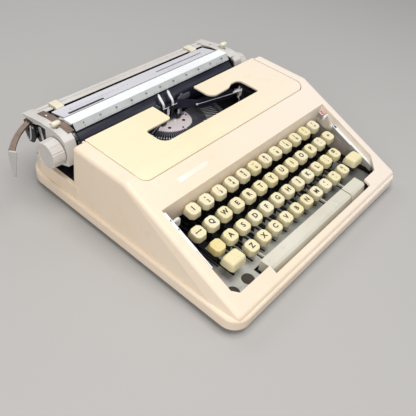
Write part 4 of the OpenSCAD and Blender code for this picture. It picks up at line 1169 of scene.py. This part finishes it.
def finger_pad(node, side, y, z):
    """Small lever with a rounded pad across its top."""
    bm = solid(node)
    middle, half_y, half_z = CARRIAGE_X + side * 130.0, 2.7, 1.9
    pad = bmesh.new()
    rings = []
    for dx, k in ((-4.8, 0.3), (-4.6, 0.6), (-4.1, 0.86), (-3.3, 1.0), (3.3, 1.0), (4.1, 0.86), (4.6, 0.6),
                  (4.8, 0.3)):
        points = ring(half_y * k, half_z * k, 0, 3.0, 24)
        rings.append([Vector((middle + dx, y + q.x, z + q.y)) for q in points])
    loft(pad, rings)
    join(bm, pad)
    emit(node + "_pad", bm, "stop", BODY_OF[node], (node,))


def table_slot():
    """Black slot at the front of the paper table, painted shade, with backing under its long slots: black
    painted shade under the right one, table colour under the left.
    """
    bm = bmesh.new()
    drop, depth = 4.8, 21
    fall = Matrix.Rotation(-math.atan2(drop, depth), 4, "X")
    # Black slot inlay: painted shade.
    slot = rounded([(-107, 2.0, 1.0), (-62, 2.0, 1.0), (-62, 5.0, 1.0), (-107, 5.0, 1.0)], 20)
    made = plate([slot], -0.3, 0.4, 0.1, 1)
    put(made, at(CARRIAGE_X, PLATEN_Y + 15, PLATEN_Z + 20.8) @ fall)
    join(bm, made)
    liner = bmesh.new()
    for side, into in ((-1, liner), (1, bm)):
        x = sorted((CARRIAGE_X + side * 20.0, CARRIAGE_X + side * 102.0))
        rise = 0.0 if side > 0 else 0.75
        section = [(117.5, 77.5 + rise), (123.0, 76.25 + rise), (123.0, 75.75), (117.5, 77.0)]
        prism(into, section, *x, along_x())
    emit("table_slot_shade", bm, "black", "carriage")
    emit("table_liner", liner, "table", "carriage")


def bail_marks():
    """Graduations and figures along the bail scale."""
    bm = bmesh.new()
    (y0, z0), (y1, z1) = (-6.2, 16.8), (-1.0, 23.2)
    lean = Matrix.Rotation(math.atan2(z1 - z0, y1 - y0), 4, "X")
    face = at(CARRIAGE_X, PLATEN_Y + y0, PLATEN_Z + z0) @ lean
    first, marks = -106.0, 101
    for k in range(marks):
        tall = 2.4 if k % 10 == 0 else (1.8 if k % 5 == 0 else 1.1)
        x = first + k * TYPE_PITCH
        box(bm, (x - 0.14, x + 0.14), (0.5, 0.5 + tall), (-0.05, 0.05), face)
        if k % 10 == 0:
            lettering(bm, str(k), 3.0, face @ at(x, 4.9, 0.02), 0.03)
    emit("scale_marks", bm, "scale_ink", "bail")


def make_carriage():
    for node in ("carriage_bed", "slide_blocks", "platen_shaft", "platen_ratchet", "feed_roller_front",
                 "feed_roller_rear"):
        paint(node)
    paint("platen_roller", "platen")
    dress("end_plates", 0.3, "dark")
    for end in ("left", "right"):
        dress("end_cover_" + end, 1.2, "grey", segments=3)
    dress("rear_bar", 1.0, "grey", segments=3)
    dress("paper_table", 0.4, "table")
    dress("bail_strip", 0.4, "white")
    dress("bail_scale", 0.25, "scale")
    finger_pad("line_space_lever", -1, 103.4, 83.9)
    finger_pad("paper_release_lever", 1, 109.7, 85.1)
    for end in ("left", "right"):
        dress("margin_stop_" + end, 0.6, "stop")
    knob("platen_knob_left", -1)
    knob("platen_knob_right", 1)
    return_lever()
    line_space_works()
    end_ledges()
    margin_rack()
    table_slot()
    bail_marks()


make_camera()
make_stage()
make_body()
make_cover()
make_keys()
function_key("shift_lock_key", -107.67, "home", "lock", False)
function_key("backspace_key", -114.0, "upper", "key", True)
shift_caps()
bar_keys()
well_trim()
label_strip()
plate_bumpers()
make_basket()
make_carriage()
